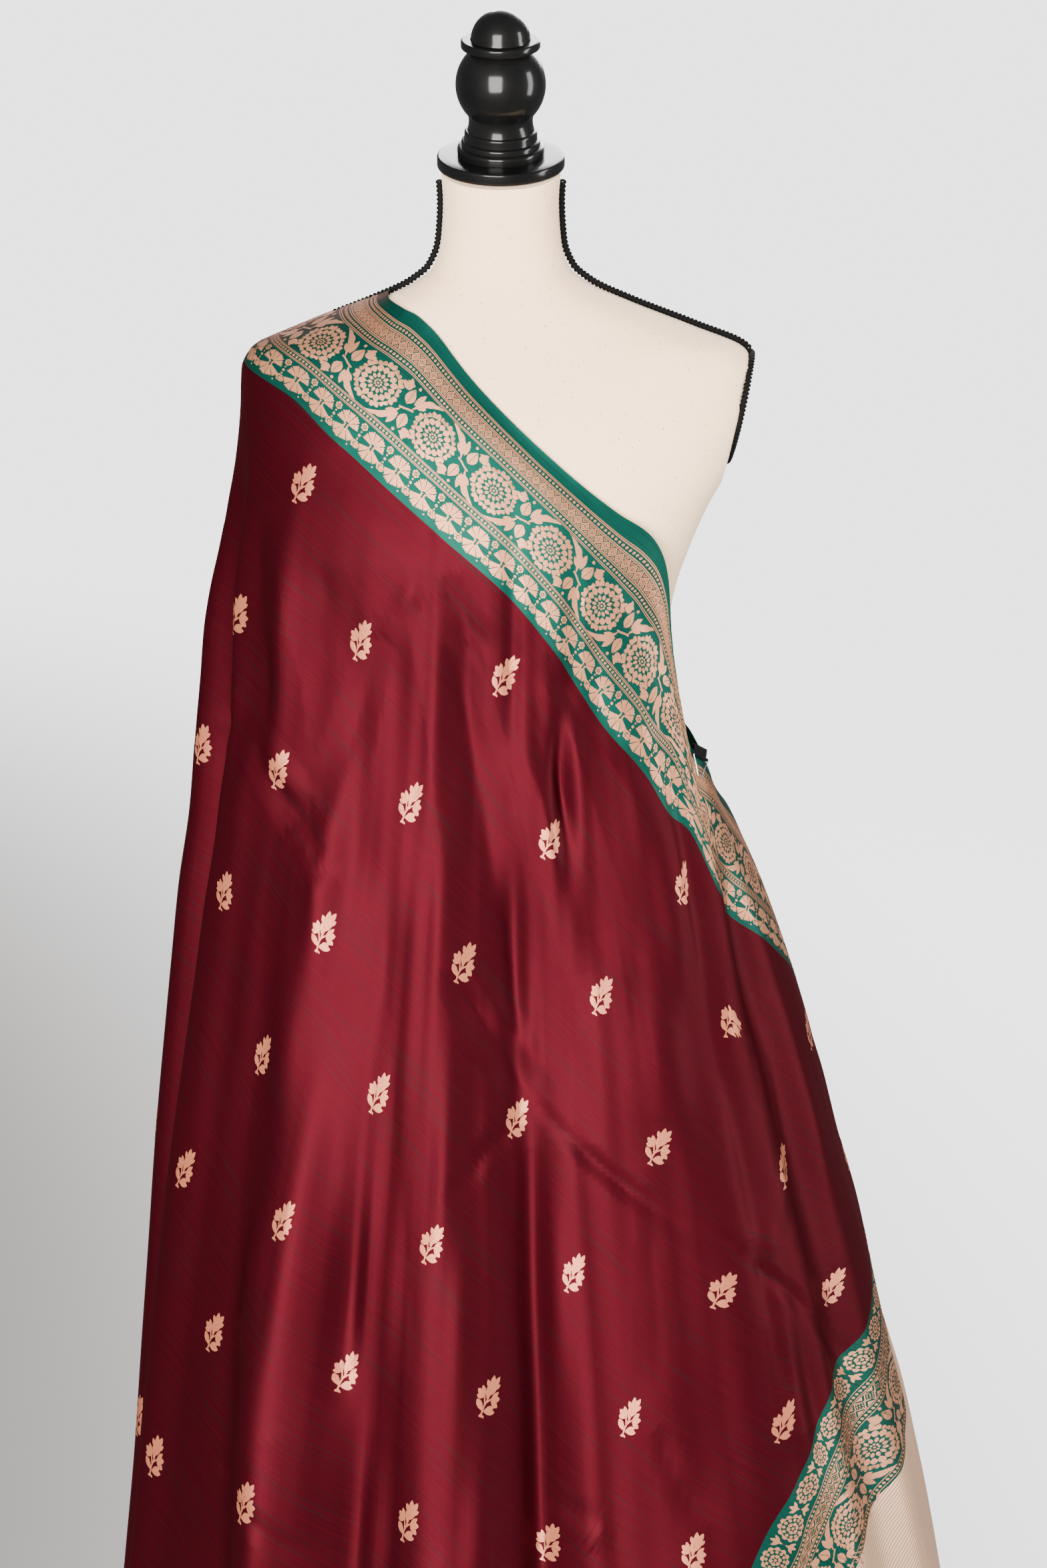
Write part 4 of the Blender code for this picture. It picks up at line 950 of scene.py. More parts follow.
def shown_columns(azimuths, top, bottom):
    """The columns where a stretch is wide enough, with one more just where it ends."""
    wide = top(azimuths) - bottom(azimuths) >= SHOWN_AT_LEAST
    first, last = np.flatnonzero(wide)[[0, -1]]
    kept = list(azimuths[first:last + 1])
    for inside, outside, at_end in ((first, first - 1, False), (last, last + 1, True)):
        if 0 <= outside < len(azimuths):
            near, far = azimuths[inside], azimuths[outside]
            for _ in range(24):
                middle = 0.5 * (near + far)
                if top(middle) - bottom(middle) >= SHOWN_AT_LEAST:
                    near = middle
                else:
                    far = middle
            kept.insert(len(kept) if at_end else 0, near)
    return np.array(kept)


def cloth_places(name, azimuths, heights, net, selvedge, border, radius):
    """Where each point lies on the flat cloth: along it and across it, in metres."""
    net_azimuths, grid = net
    down = np.stack([
        row_at(radius, a, heights[:, j], selvedge, border) for j, a in enumerate(azimuths)
    ], 1)
    across_net = np.interp(azimuths, net_azimuths, np.arange(len(net_azimuths)))
    flat = soft_read(grid, down, np.broadcast_to(across_net, down.shape))
    if name.endswith(("front_border", "back_border")):
        flat[..., 1] = np.minimum(down / BORDER_ROWS, 1.0) * BORDER_WIDTH
    if "lower_border" in name:
        width = edge("lower_border", azimuths) - edge("lower_selvedge", azimuths)
        whole = np.maximum(width, LOWER_BORDER_WHOLE)
        share = np.linspace(0.0, 1.0, len(heights))[:, None]
        flat[..., 1] = CLOTH_WIDTH - BORDER_WIDTH + share * BORDER_WIDTH * (width / whole)
        line = on_surface(radius, azimuths, edge("lower_border", azimuths))
        steps = np.linalg.norm(np.diff(line, axis=0), axis=1)
        run = np.concatenate([[0.0], np.cumsum(steps)])
        seam = int(np.argmin(np.abs(azimuths - SEAM_AZ)))
        flat[..., 0] = flat[0, seam, 0] + run - run[seam]
    if name == "sari_pallu_band":
        thick = edge("band_inner", azimuths) - edge("band_outer", azimuths)
        fallen = (edge("band_inner", azimuths) - heights) / np.maximum(thick, 1e-6)
        flat[..., 0] = BAND_START + np.clip(fallen, 0.0, 1.0) * (BAND_END - BAND_START)
    return flat


class Sheet:
    """One stretch of cloth: its grid on the drape, its normals and its flat places."""

    def __init__(self, name, stretch, all_azimuths, plain, creased, net, selvedge, border):
        top, bottom, rows = stretch
        self.name = name
        self.azimuths = shown_columns(all_azimuths, top, bottom)
        heights = np.zeros((rows + 1, len(self.azimuths)))
        for j, a in enumerate(self.azimuths):
            fine, length = column_samples(plain, a, top(a), bottom(a))
            heights[:, j] = np.interp(np.linspace(0.0, length[-1], rows + 1), length, fine)
        angles = np.broadcast_to(self.azimuths, heights.shape)
        self.outside = on_surface(creased, angles, heights)
        self.normals = outward(creased, angles, heights)
        self.flat = cloth_places(name, self.azimuths, heights, net, selvedge, border, plain)

    def mesh(self):
        rows, columns = self.outside.shape[:2]
        inside = self.outside - CLOTH_THICK * self.normals
        count = rows * columns
        corner = np.arange(count).reshape(rows, columns)
        outer = np.stack([corner[:-1, :-1], corner[1:, :-1], corner[1:, 1:], corner[:-1, 1:]], -1)
        inner = outer[..., ::-1] + count
        rim = np.concatenate([
            corner[0, :-1], corner[:-1, -1], corner[-1, :0:-1], corner[:0:-1, 0]])
        ahead = np.roll(rim, -1)
        walls = np.stack([rim, ahead, ahead + count, rim + count], -1)
        faces = np.concatenate([outer.reshape(-1, 4), inner.reshape(-1, 4), walls])
        places = np.concatenate([self.outside.reshape(-1, 3), inside.reshape(-1, 3)])
        data = bpy.data.meshes.new(self.name)
        data.from_pydata(places.tolist(), [], faces.tolist())
        flat = np.concatenate([self.flat.reshape(-1, 2)] * 2)
        weave = data.uv_layers.new(name="weave")
        weave.data.foreach_set("uv", flat[faces].reshape(-1).astype(np.float32))
        data.shade_smooth()
        normals = np.concatenate([self.normals.reshape(-1, 3), -self.normals.reshape(-1, 3)])
        loops = normals[faces]
        wall = places[walls]
        face_normal = np.cross(wall[:, 1] - wall[:, 0], wall[:, 3] - wall[:, 0])
        face_normal /= np.linalg.norm(face_normal, axis=1, keepdims=True) + 1e-12
        loops[-len(walls):] = face_normal[:, None, :]
        data.normals_split_custom_set(loops.reshape(-1, 3).tolist())
        return data

    def flat_size(self):
        """Flat area of what shows, and the width and length of the cloth that it is cut from."""
        f = self.flat
        one, other = f[1:, 1:] - f[:-1, :-1], f[1:, :-1] - f[:-1, 1:]
        area = float(np.abs(one[..., 0] * other[..., 1] - one[..., 1] * other[..., 0]).sum() / 2)
        low, high = f.reshape(-1, 2).min(0), f.reshape(-1, 2).max(0)
        return float(high[1] - low[1]), float(high[0] - low[0]), area


SHEETS = {}
for stretches, side in (
    (FRONT_STRETCHES, (FRONT_AZIMUTHS, outer_radius, front_radius, FRONT_NET,
                       "front_selvedge", "front_border")),
    (BACK_STRETCHES, (BACK_AZIMUTHS, inner_radius, back_radius, BACK_NET,
                      "back_selvedge", "back_border")),
):
    for sheet_name, stretch in stretches.items():
        SHEETS[sheet_name] = Sheet(sheet_name, stretch, *side)
        width, length, area = SHEETS[sheet_name].flat_size()
        print(f"{sheet_name}: {width:.2f} x {length:.2f} m, {area:.3f} square metres of cloth")


# %% [markdown]
# ## Finishes
#
# The silk is a fine lustrous plain weave. It throws light back in the colour of its own dye,
# as a metal does and a painted surface doesn't, so half of its shine is made metallic and the
# rest is tinted red. Thicker threads in the yarn show as fine streaks that run along the
# cloth. Everything on the cloth reads its flat UV, so the streaks bend with the drape.

# %% Silk and metal thread
def silk_finish(name, deep, light, seed):
    silk = Finish(name, Specular_IOR_Level=0.15, Metallic=0.62, Specular_Tint=(1.0, 0.3, 0.35, 1.0))
    slub = silk.cloth.stretched(14.0, 1900.0, seed).noise(1.0, 3.0, 0.6)
    cloud = silk.cloth.stretched(5.0, 9.0, seed).noise(1.0, 2.0)
    thick = silk.cloth.stretched(9.0, 620.0, seed).noise(1.0, 2.0)
    streak = slub.above(0.55, 0.18)
    ground = (streak * 0.6 + cloud * 0.4).mix(linear(*deep), linear(*light))
    dull = tuple(0.55 * c + 0.004 for c in linear(*deep))
    silk.feed(
        Base_Color=(thick.above(0.62, 0.05) * 0.75).mix(ground, dull),
        Roughness=0.48 + slub * 0.1,
    )
    silk.bump(slub, 0.00018, 0.6)
    return silk.material


def zari_finish(name, shade, shine, seed):
    """Flat metal strip wound on a silk core, held down by fine slanting rows of binding, with painted shade
    between the rows and painted shine on them.
    """
    zari = Finish(name, Specular_IOR_Level=0.4, Metallic=0.45)
    along, across = zari.across_and_along()
    rows = (along * 0.8 + across * 0.6).wave(0.0011)
    grain = zari.cloth.stretched(900.0, 2500.0, seed).noise(1.0, 2.0)
    # painted light: the colour runs from a shaded copy of the metal between the binding rows to a shining
    # copy on them and on a fine grain
    painted_shine_mask = rows * 0.55 + grain * 0.45
    zari.feed(Base_Color=painted_shine_mask.mix(linear(*shade), linear(*shine)), Roughness=0.5 - painted_shine_mask * 0.15)
    zari.bump(rows, 0.00012, 0.7)
    return zari.material


def tissue_finish(name):
    """Gold tissue: metal weft on a fine silk warp, with thin dark threads at each third line."""
    tissue = Finish(name, Specular_IOR_Level=0.4, Metallic=0.35)
    along, across = tissue.across_and_along()
    wobble = tissue.cloth.stretched(60.0, 8.0).noise(1.0, 2.0)
    line = (along + wobble * 0.0012).wave(0.0028).above(0.86, 0.1)
    grain = tissue.cloth.stretched(1500.0, 120.0).noise(1.0, 3.0)
    plain = grain.mix(linear(192, 146, 116), linear(226, 186, 152))
    tissue.feed(Base_Color=line.mix(plain, linear(92, 90, 76)), Roughness=0.48 - grain * 0.12)
    tissue.bump(grain, 0.0001, 0.5)
    return tissue.material


MAROON = silk_finish("maroon_silk", (46, 5, 12), (61, 7, 17), 1.0)
TEAL = silk_finish("teal_silk", (0, 56, 48), (0, 72, 61), 2.0)
# the two colours given for each metal thread are its painted shade and its painted shine
ZARI = zari_finish("zari", (126, 72, 46), (204, 146, 110), 3.0)
BUTI_ZARI = zari_finish("copper_zari", (126, 62, 42), (196, 124, 92), 4.0)
GOLD_TISSUE = tissue_finish("gold_tissue")
print("cloth finishes: maroon silk, teal silk, zari, gold tissue")


# %% [markdown]
# The form's canvas is a plain weave with small dark flecks of seed husk in it. The top pieces
# are turned wood under black lacquer, and the stand, the clip and its levers are metal.

# %% Canvas, lacquer, enamel, gimp and steel
def canvas_finish():
    canvas = Finish("canvas", Roughness=0.9, Specular_IOR_Level=0.25, Sheen_Weight=0.2)
    fleck = canvas.place.noise(620.0, 1.0, 0.4).above(0.735, 0.02)
    cloud = canvas.place.noise(9.0, 3.0)
    thread = canvas.place.stretched(1400.0, 1400.0, 500.0).noise(1.0, 1.0)
    plain = (cloud * 0.6 + thread * 0.4).mix(linear(250, 210, 168), linear(255, 222, 184))
    canvas.feed(Base_Color=fleck.mix(plain, linear(170, 136, 104)))
    canvas.bump(thread, 0.0003, 0.35)
    return canvas.material


def dark_finish(name, colour, roughness, grain_scale, coat):
    dark = Finish(name, Specular_IOR_Level=0.05, Coat_Weight=coat, Coat_Roughness=0.14)
    grain = dark.place.noise(grain_scale, 3.0)
    lighter = tuple(c * 1.8 + 0.004 for c in linear(*colour))
    dark.feed(Base_Color=grain.mix(linear(*colour), lighter), Roughness=roughness + grain * 0.1)
    return dark.material


def steel_finish():
    steel = Finish("steel", Metallic=1.0)
    grain = steel.place.noise(900.0, 2.0)
    steel.feed(Base_Color=grain.mix(linear(168, 168, 172), linear(206, 206, 210)),
               Roughness=0.22 + grain * 0.12)
    return steel.material


CANVAS = canvas_finish()
LACQUER = dark_finish("black_lacquer", (3, 3, 3), 0.42, 40.0, 0.35)
ENAMEL = dark_finish("black_enamel", (5, 5, 6), 0.42, 60.0, 0.04)
GIMP = dark_finish("black_gimp", (7, 7, 7), 0.6, 900.0, 0.0)
STEEL = steel_finish()
print("form finishes: canvas, lacquer, enamel, gimp, steel")


# %% [markdown]
# ## Putting a piece in the frame
#
# Each finished mesh rides on the body of the frame that it belongs to, stands for the frame's
# own plain piece, and takes its finish.

# %% Helper for finished pieces
WELD = 1e-6


def finished(name, data, finish, node=None, body=BODY, sharp=None):
    """Give a mesh its object, its finish and its place in the frame."""
    piece = put(name, data)
    data.materials.clear()
    data.materials.append(finish)
    if sharp:
        data.shade_smooth()
        data.set_sharp_from_angle(angle=math.radians(sharp))
    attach(piece, body)
    if node:
        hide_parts(node)
    return piece


def welded(data):
    """Join doubled corners and turn every face outward."""
    shape = bmesh.new()
    shape.from_mesh(data)
    bmesh.ops.remove_doubles(shape, verts=shape.verts, dist=WELD)
    bmesh.ops.recalc_face_normals(shape, faces=shape.faces)
    shape.to_mesh(data)
    shape.free()
    return data


def mesh_from(name, places, faces):
    data = bpy.data.meshes.new(name)
    data.from_pydata([tuple(p) for p in places], [], [tuple(f) for f in faces])
    return welded(data)


def plain_mesh(holder):
    """The mesh of an object as it is shown, modifiers and all. The object itself goes."""
    shown = holder.evaluated_get(bpy.context.evaluated_depsgraph_get())
    data = bpy.data.meshes.new_from_object(shown)
    bpy.data.objects.remove(holder)
    return data


print(f"corners closer than {WELD * 1e6:.0f} micrometre are joined")


# %% [markdown]
# ## The dress form
#
# The torso is a loft: at each height a squared oval of its own width and depth. Both armholes
# are cut flat, and the neck leans forward under its disk. One formula gives every point, so
# the mesh is simply rings of it, closer together than the frame's.

# %% Torso
NECK_TOP = 1.532
NECK_TILT = math.radians(15.0)
TORSO_BOTTOM = 0.7
ARM_TOP_X, ARM_TOP_Z, ARM_LEAN = 0.2005, 1.385, 0.2176
# height, half width, front depth, back depth
FORM = np.array([
    (1.532, 0.048, 0.0545, 0.0455), (1.505, 0.0462, 0.053, 0.045), (1.475, 0.048, 0.051, 0.048),
    (1.452, 0.055, 0.052, 0.053), (1.44, 0.07, 0.054, 0.058), (1.425, 0.104, 0.059, 0.065),
    (1.405, 0.156, 0.066, 0.072), (1.388, 0.196, 0.074, 0.079), (1.372, 0.206, 0.082, 0.083),
    (1.34, 0.204, 0.097, 0.087), (1.3, 0.19, 0.11, 0.089), (1.26, 0.168, 0.121, 0.09),
    (1.225, 0.153, 0.126, 0.089), (1.195, 0.143, 0.124, 0.087), (1.15, 0.135, 0.115, 0.083),
    (1.1, 0.129, 0.104, 0.077), (1.05, 0.125, 0.094, 0.072), (1, 0.124, 0.089, 0.07),
    (0.95, 0.129, 0.089, 0.076), (0.9, 0.143, 0.094, 0.092), (0.85, 0.158, 0.101, 0.108),
    (0.8, 0.168, 0.107, 0.118), (0.75, 0.172, 0.109, 0.119), (0.7, 0.171, 0.107, 0.115),
])
TORSO_SIDES = 240


def form_points(azimuth, height):
    """Points of the form: its section, cut flat at the armholes, tilted at the neck."""
    width, front, back = (smooth_at(FORM[:, 0], FORM[:, i], height) for i in (1, 2, 3))
    r = ring_radius(azimuth, width, width, front, back)
    turn = np.radians(azimuth)
    x, y = r * np.sin(turn), -r * np.cos(turn)
    widest = ARM_TOP_X - (ARM_TOP_Z - height) * ARM_LEAN
    tilt = ramp(height, 1.44, NECK_TOP) * math.tan(NECK_TILT)
    return np.stack([np.clip(x, -widest, widest), y, height + y * tilt], -1)


def rings_to_mesh(name, rings):
    """A closed skin through rings of points, with its first and last ring filled."""
    count, sides = rings.shape[:2]
    corner = np.arange(count * sides).reshape(count, sides)
    ahead = np.roll(corner, -1, axis=1)
    faces = np.stack([corner[:-1], ahead[:-1], ahead[1:], corner[1:]], -1).reshape(-1, 4).tolist()
    faces += [corner[0, ::-1].tolist(), corner[-1].tolist()]
    return mesh_from(name, rings.reshape(-1, 3), faces)


torso_heights = np.concatenate([
    np.linspace(NECK_TOP, 1.372, 60)[:-1], np.linspace(1.372, TORSO_BOTTOM, 90)])
torso_angles = np.arange(TORSO_SIDES) * 360.0 / TORSO_SIDES
torso = finished(
    "form_torso_canvas",
    rings_to_mesh("form_torso_canvas", form_points(torso_angles[None, :], torso_heights[:, None])),
    CANVAS, "form_torso", sharp=30.0)
print("torso:", len(torso.data.polygons), "faces")


# %% [markdown]
# ## Turned pieces
#
# The finial, its disk and the stand were turned on a lathe, so each is a profile of radius
# and height spun round its axis. The finial leans with the neck.

# %% Neck disk, finial and stand
SPIN_SIDES = 96
DISK_RADIUS, DISK_HEIGHT = 0.051, 0.0095
POLE_RADIUS = 0.0125
BASE_RADIUS, BASE_HEIGHT = 0.17, 0.02
NECK_PLACE = Matrix.Translation((0.0, 0.0, NECK_TOP)) @ Matrix.Rotation(NECK_TILT, 4, "X")


def arc(centre_r, centre_z, radius, start, end, steps):
    """Points on an arc of a profile; the angles are in degrees from outward."""
    turns = [math.radians(start + (end - start) * k / steps) for k in range(steps + 1)]
    return [(centre_r + radius * math.cos(t), centre_z + radius * math.sin(t)) for t in turns]


def turned(name, profile, place):
    """Spin a profile, top to bottom, that starts and ends off the axis, and place it."""
    turn = np.arange(SPIN_SIDES) * 2 * math.pi / SPIN_SIDES
    profile = np.array(profile)
    radius, height = profile[:, :1], profile[:, 1:]
    rings = np.stack([
        radius * np.cos(turn), radius * np.sin(turn), np.broadcast_to(height, (len(profile), SPIN_SIDES))
    ], -1)
    data = rings_to_mesh(name, rings)
    data.transform(place)
    return data


disk_profile = [(0.0405, DISK_HEIGHT + 0.0002)]
disk_profile += arc(DISK_RADIUS - 0.0016, DISK_HEIGHT - 0.0016, 0.0016, 90, 0, 5)
disk_profile += arc(DISK_RADIUS - 0.0016, 0.0016, 0.0016, 0, -90, 5)
disk_profile += [(0.03, 0.0)]
finished("neck_disk",
         turned("neck_disk", disk_profile, NECK_PLACE @ Matrix.Translation((0, 0, 0.0006))),
         LACQUER, "form_neck_disk", sharp=40.0)

finial_profile = [(0.0004, 0.1161)]
finial_profile += arc(0.0, 0.0925, 0.0236, 88, 4, 14)
finial_profile += [(0.024, 0.0932), (0.029, 0.0932)]
finial_profile += arc(0.0296, 0.0915, 0.0017, 90, 0, 4) + arc(0.0296, 0.088, 0.0017, 0, -90, 4)
finial_profile += [(0.0236, 0.086), (0.0228, 0.0852), (0.0232, 0.0844)]
finial_profile += arc(0.0, 0.057, 0.0358, 47, -41, 26)
finial_profile += [(0.0262, 0.0322), (0.0256, 0.03), (0.0255, 0.027), (0.0259, 0.023), (0.0268, 0.02)]
finial_profile += arc(0.0272, 0.0182, 0.0018, 70, 0, 4) + [(0.029, 0.0168), (0.0292, 0.0125)]
finial_profile += arc(0.0298, 0.0104, 0.0018, 80, 0, 4) + [(0.0316, 0.0076)]
finial_profile += arc(0.0322, 0.0048, 0.0026, 80, -10, 5) + [(0.0348, 0.002), (0.0345, 0.0), (0.01, 0.0)]
finial_place = NECK_PLACE @ Matrix.Translation((0, 0, DISK_HEIGHT + 0.001))
finial = finished(
    "finial", turned("finial", finial_profile, finial_place), LACQUER,
    "form_finial", sharp=35.0)
print("finial:", len(finial.data.polygons), "faces")

collar_profile = [(0.004, 0.0), (0.04, 0.0)] + arc(0.04, -0.002, 0.002, 90, 0, 4)
collar_profile += arc(0.0405, -0.0105, 0.0015, 0, -90, 4) + [(0.004, -0.012)]
finished("collar", turned("collar", collar_profile, Matrix.Translation((0, 0, TORSO_BOTTOM - 0.0003))),
         ENAMEL, "stand_collar", sharp=40.0)
pole_top, pole_bottom = TORSO_BOTTOM - 0.0126, BASE_HEIGHT + 0.0143
finished("pole", turned("pole", [(0.002, pole_top), (POLE_RADIUS, pole_top), (POLE_RADIUS, pole_bottom),
                                 (0.002, pole_bottom)], Matrix.Identity(4)),
         ENAMEL, "stand_pole", sharp=40.0)
base_profile = [(0.002, BASE_HEIGHT + 0.014), (0.022, BASE_HEIGHT + 0.014)]
base_profile += arc(0.024, BASE_HEIGHT + 0.01, 0.004, 70, 0, 4) + [(0.03, BASE_HEIGHT + 0.004)]
base_profile += [(0.034, BASE_HEIGHT + 0.0005), (0.04, BASE_HEIGHT), (BASE_RADIUS - 0.01, BASE_HEIGHT)]
base_profile += arc(BASE_RADIUS - 0.006, BASE_HEIGHT - 0.006, 0.006, 85, 0, 8)
base_profile += arc(BASE_RADIUS - 0.002, 0.002, 0.002, 0, -90, 4) + [(0.01, 0.0)]
finished("base", turned("base", base_profile, Matrix.Identity(4)), ENAMEL, "stand_base",
         sharp=40.0)


# %% [markdown]
# ## Gimp braid
#
# Gimp is a cord wound round a core, sewn down over a raw edge. It follows a line on the form:
# down each side of the neck, out along the shoulder seam, and round the armhole plate. One
# slanting turn of the winding is modelled once. Geometry Nodes then walk along the line at an
# even step, set a turn at each stop, and draw the core through them.

# %% Loop and lines
GIMP_RADIUS = 0.0027
GIMP_TOP = 1.52
FLARE_Z = 1.45
LOOP_STEP = 0.0034
LOOP_WIRE = 0.0011
LOOP_SLANT = math.radians(32.0)
CORE_RADIUS = 0.0019


def small_ring(name, half_length, half_width, wire, around=12, sides=5):
    """One turn of the winding: a ring round the Y axis, slanted."""
    rings = np.zeros((around, sides, 3))
    for i in range(around):
        turn = 2 * math.pi * i / around
        for j in range(sides):
            roll = 2 * math.pi * j / sides
            out = wire * math.cos(roll)
            rings[i, j] = ((half_length + out) * math.cos(turn), (half_width + out) * math.sin(turn),
                           wire * math.sin(roll))
    corner = np.arange(around * sides).reshape(around, sides)
    right, up = np.roll(corner, -1, 0), np.roll(corner, -1, 1)
    faces = np.stack([corner, right, np.roll(right, -1, 1), up], -1).reshape(-1, 4)
    data = mesh_from(name, rings.reshape(-1, 3), faces)
    data.transform(Matrix.Rotation(LOOP_SLANT, 4, "Z") @ Matrix.Rotation(math.pi / 2, 4, "X"))
    data.shade_smooth()
    return put(name, data)


FLARE, FLARE_REACH = 0.0016, 0.014


def seam_line(side, lowest):
    """The line of the braid down one side of the neck and along the shoulder."""
    heights = np.linspace(GIMP_TOP, lowest, 60)
    line = form_points(side, heights)
    along = np.gradient(line, axis=0)
    along /= np.linalg.norm(along, axis=1, keepdims=True)
    out = np.cross(np.array([0.0, 1.0, 0.0]), along)
    out = out * np.sign(out[:, :1] * line[:, :1])
    flare = FLARE * np.exp(-(((heights - FLARE_Z) / FLARE_REACH) ** 2))
    return line + out * (GIMP_RADIUS * 0.85 + flare)[:, None], out


PLATE_HALF_HEIGHT, PLATE_HALF_DEPTH, PLATE_THICK = 0.042, 0.036, 0.003
PLATE_PLACE = Matrix.Translation((ARM_TOP_X - 0.045 * ARM_LEAN, 0.001, ARM_TOP_Z - 0.045)) @ (
    Matrix.Rotation(math.pi / 2 + math.atan(ARM_LEAN), 4, "Y"))


def armhole_line():
    turn = np.linspace(0.0, 2 * math.pi, 97)
    reach = GIMP_RADIUS + SEAM_GAP
    flat = np.stack([
        (PLATE_HALF_HEIGHT + reach) * np.cos(turn), (PLATE_HALF_DEPTH + reach) * np.sin(turn),
        np.full_like(turn, 0.0018)], -1)
    turned_flat = np.array([PLATE_PLACE @ Vector(p) for p in flat])
    out = np.array(PLATE_PLACE.to_3x3() @ Vector((0.0, 0.0, 1.0)))
    return turned_flat, np.broadcast_to(out, turned_flat.shape)


print(f"a loop every {LOOP_STEP * 1000:.1f} mm along the braid")


# %% [markdown]
# The tree below takes a line as a mesh of edges whose points store which way is out. It turns
# the line into a curve, makes it even, sets a turn of cord at each point, facing along the
# line, and sweeps a small circle for the core.

# %% Braid tree
class Grow:
    """A Geometry Nodes tree with named inputs, built step by step from mesh to dressed mesh."""

    def __init__(self, name, inputs):
        self.tree = bpy.data.node_groups.new(name, "GeometryNodeTree")
        self.socket("Geometry", "INPUT", "Geometry")
        self.socket("Geometry", "OUTPUT", "Geometry")
        for label, kind in inputs.items():
            self.socket(label, "INPUT", kind)
        self.start = self.tree.nodes.new("NodeGroupInput").outputs

    def socket(self, label, side, kind):
        self.tree.interface.new_socket(label, in_out=side, socket_type="NodeSocket" + kind)

    def add(self, kind, output=0, settings=None, **links):
        """A node with its settings, and its inputs by name as links or values."""
        node = self.tree.nodes.new(kind)
        for key, value in (settings or {}).items():
            setattr(node, key, value)
        for key, value in links.items():
            socket = node.inputs[key.replace("_", " ")]
            if isinstance(value, bpy.types.NodeSocket):
                self.tree.links.new(value, socket)
            else:
                socket.default_value = value
        return node.outputs[output]

    def read(self, name):
        return self.add("GeometryNodeInputNamedAttribute", "Attribute", {"data_type": "FLOAT_VECTOR"},
                        Name=name)

    def close(self, geometry):
        """Realize the instances and set the finish."""
        whole = self.add("GeometryNodeRealizeInstances", Geometry=geometry)
        dressed = self.add("GeometryNodeSetMaterial", Geometry=whole, Material=self.start["Finish"])
        end = self.tree.nodes.new("NodeGroupOutput")
        self.tree.links.new(dressed, end.inputs["Geometry"])
        return self.tree


def grown(name, data, tree, values, finish):
    """Run a tree on a mesh and return the plain mesh that it makes, with no modifier left."""
    holder = put(name + "_start", data)
    modifier = holder.modifiers.new("grow", "NODES")
    modifier.node_group = tree
    values = {**values, "Finish": finish}
    for item in tree.interface.items_tree:
        if item.in_out == "INPUT" and item.name in values:
            modifier[item.identifier] = values[item.name]
    made = plain_mesh(holder)
    made.name = name
    return made


def braid_tree():
    grow = Grow("braid", {"Loop": "Object", "Step": "Float", "Core": "Float", "Finish": "Material"})
    curve = grow.add("GeometryNodeMeshToCurve", Mesh=grow.start["Geometry"])
    even = grow.add("GeometryNodeResampleCurve", 0, {"mode": "LENGTH"}, Curve=curve,
                    Length=grow.start["Step"])
    points = grow.add("GeometryNodeCurveToPoints", "Points", {"mode": "EVALUATED"}, Curve=even)
    tangent = points.node.outputs["Tangent"]
    facing = grow.add("FunctionNodeAlignRotationToVector", 0, {"axis": "Z"}, Vector=grow.read("out"))
    along = grow.add("FunctionNodeAlignRotationToVector", 0, {"axis": "Y", "pivot_axis": "Z"},
                     Rotation=facing, Vector=tangent)
    loop = grow.add("GeometryNodeObjectInfo", "Geometry", Object=grow.start["Loop"])
    placed = grow.add("GeometryNodeInstanceOnPoints", Points=points, Instance=loop, Rotation=along)
    section = grow.add("GeometryNodeCurvePrimitiveCircle", "Curve", Resolution=8,
                       Radius=grow.start["Core"])
    core = grow.add("GeometryNodeCurveToMesh", Curve=even, Profile_Curve=section, Fill_Caps=True)
    both = grow.add("GeometryNodeJoinGeometry", Geometry=placed)
    grow.tree.links.new(core, both.node.inputs["Geometry"])
    return grow.close(both)


BRAID = braid_tree()
gimp_loop = small_ring("gimp_loop", 0.0023, 0.0021, LOOP_WIRE)
for line_name, (line, out), node_name in (
    ("neck_braid_right", seam_line(90.0, 1.386), "gimp_neck_right"),
    ("neck_braid_left", seam_line(-90.0, 1.414), "gimp_neck_left"),
    ("armhole_braid", armhole_line(), "gimp_armhole"),
):
    path = bpy.data.meshes.new(line_name + "_line")
    path.from_pydata(line.tolist(), [(k, k + 1) for k in range(len(line) - 1)], [])
    facing_out = path.attributes.new("out", "FLOAT_VECTOR", "POINT")
    facing_out.data.foreach_set("vector", np.ascontiguousarray(out, np.float32).reshape(-1))
    braid = grown(line_name, path, BRAID, {"Loop": gimp_loop, "Step": LOOP_STEP, "Core": CORE_RADIUS},
                  GIMP)
    finished(line_name, braid, GIMP, node_name)
    print(f"{line_name}: {len(braid.polygons)} faces")
bpy.data.objects.remove(gimp_loop)


# %% [markdown]
# ## Armhole plate
#
# A flat oval board covered in the same canvas closes the bare armhole.

# %% Plate
def plate_mesh():
    turn = np.arange(96) * 2 * math.pi / 96
    profile = ((0.985, PLATE_THICK), (0.997, PLATE_THICK - 0.0003), (1.0, PLATE_THICK - 0.001), (1.0, 0.0))
    rings = np.array([
        [(PLATE_HALF_HEIGHT * share * math.cos(t), PLATE_HALF_DEPTH * share * math.sin(t), z) for t in turn]
        for share, z in profile])
    data = rings_to_mesh("armhole_plate", rings)
    data.transform(PLATE_PLACE @ Matrix.Translation((0.0, 0.0, SEAM_GAP)))
    return data


finished("armhole_plate", plate_mesh(), CANVAS, "form_armhole_plate", sharp=50.0)


# %% [markdown]
# ## The clip
#
# A small black binder clip pins the border at the side. Its body is one strip of spring steel
# bent to a prism, with a curl along each jaw, and the two wire levers turn in the curls. The
# clip sits square on the cloth where the formula puts it, so its axes come from the surface.

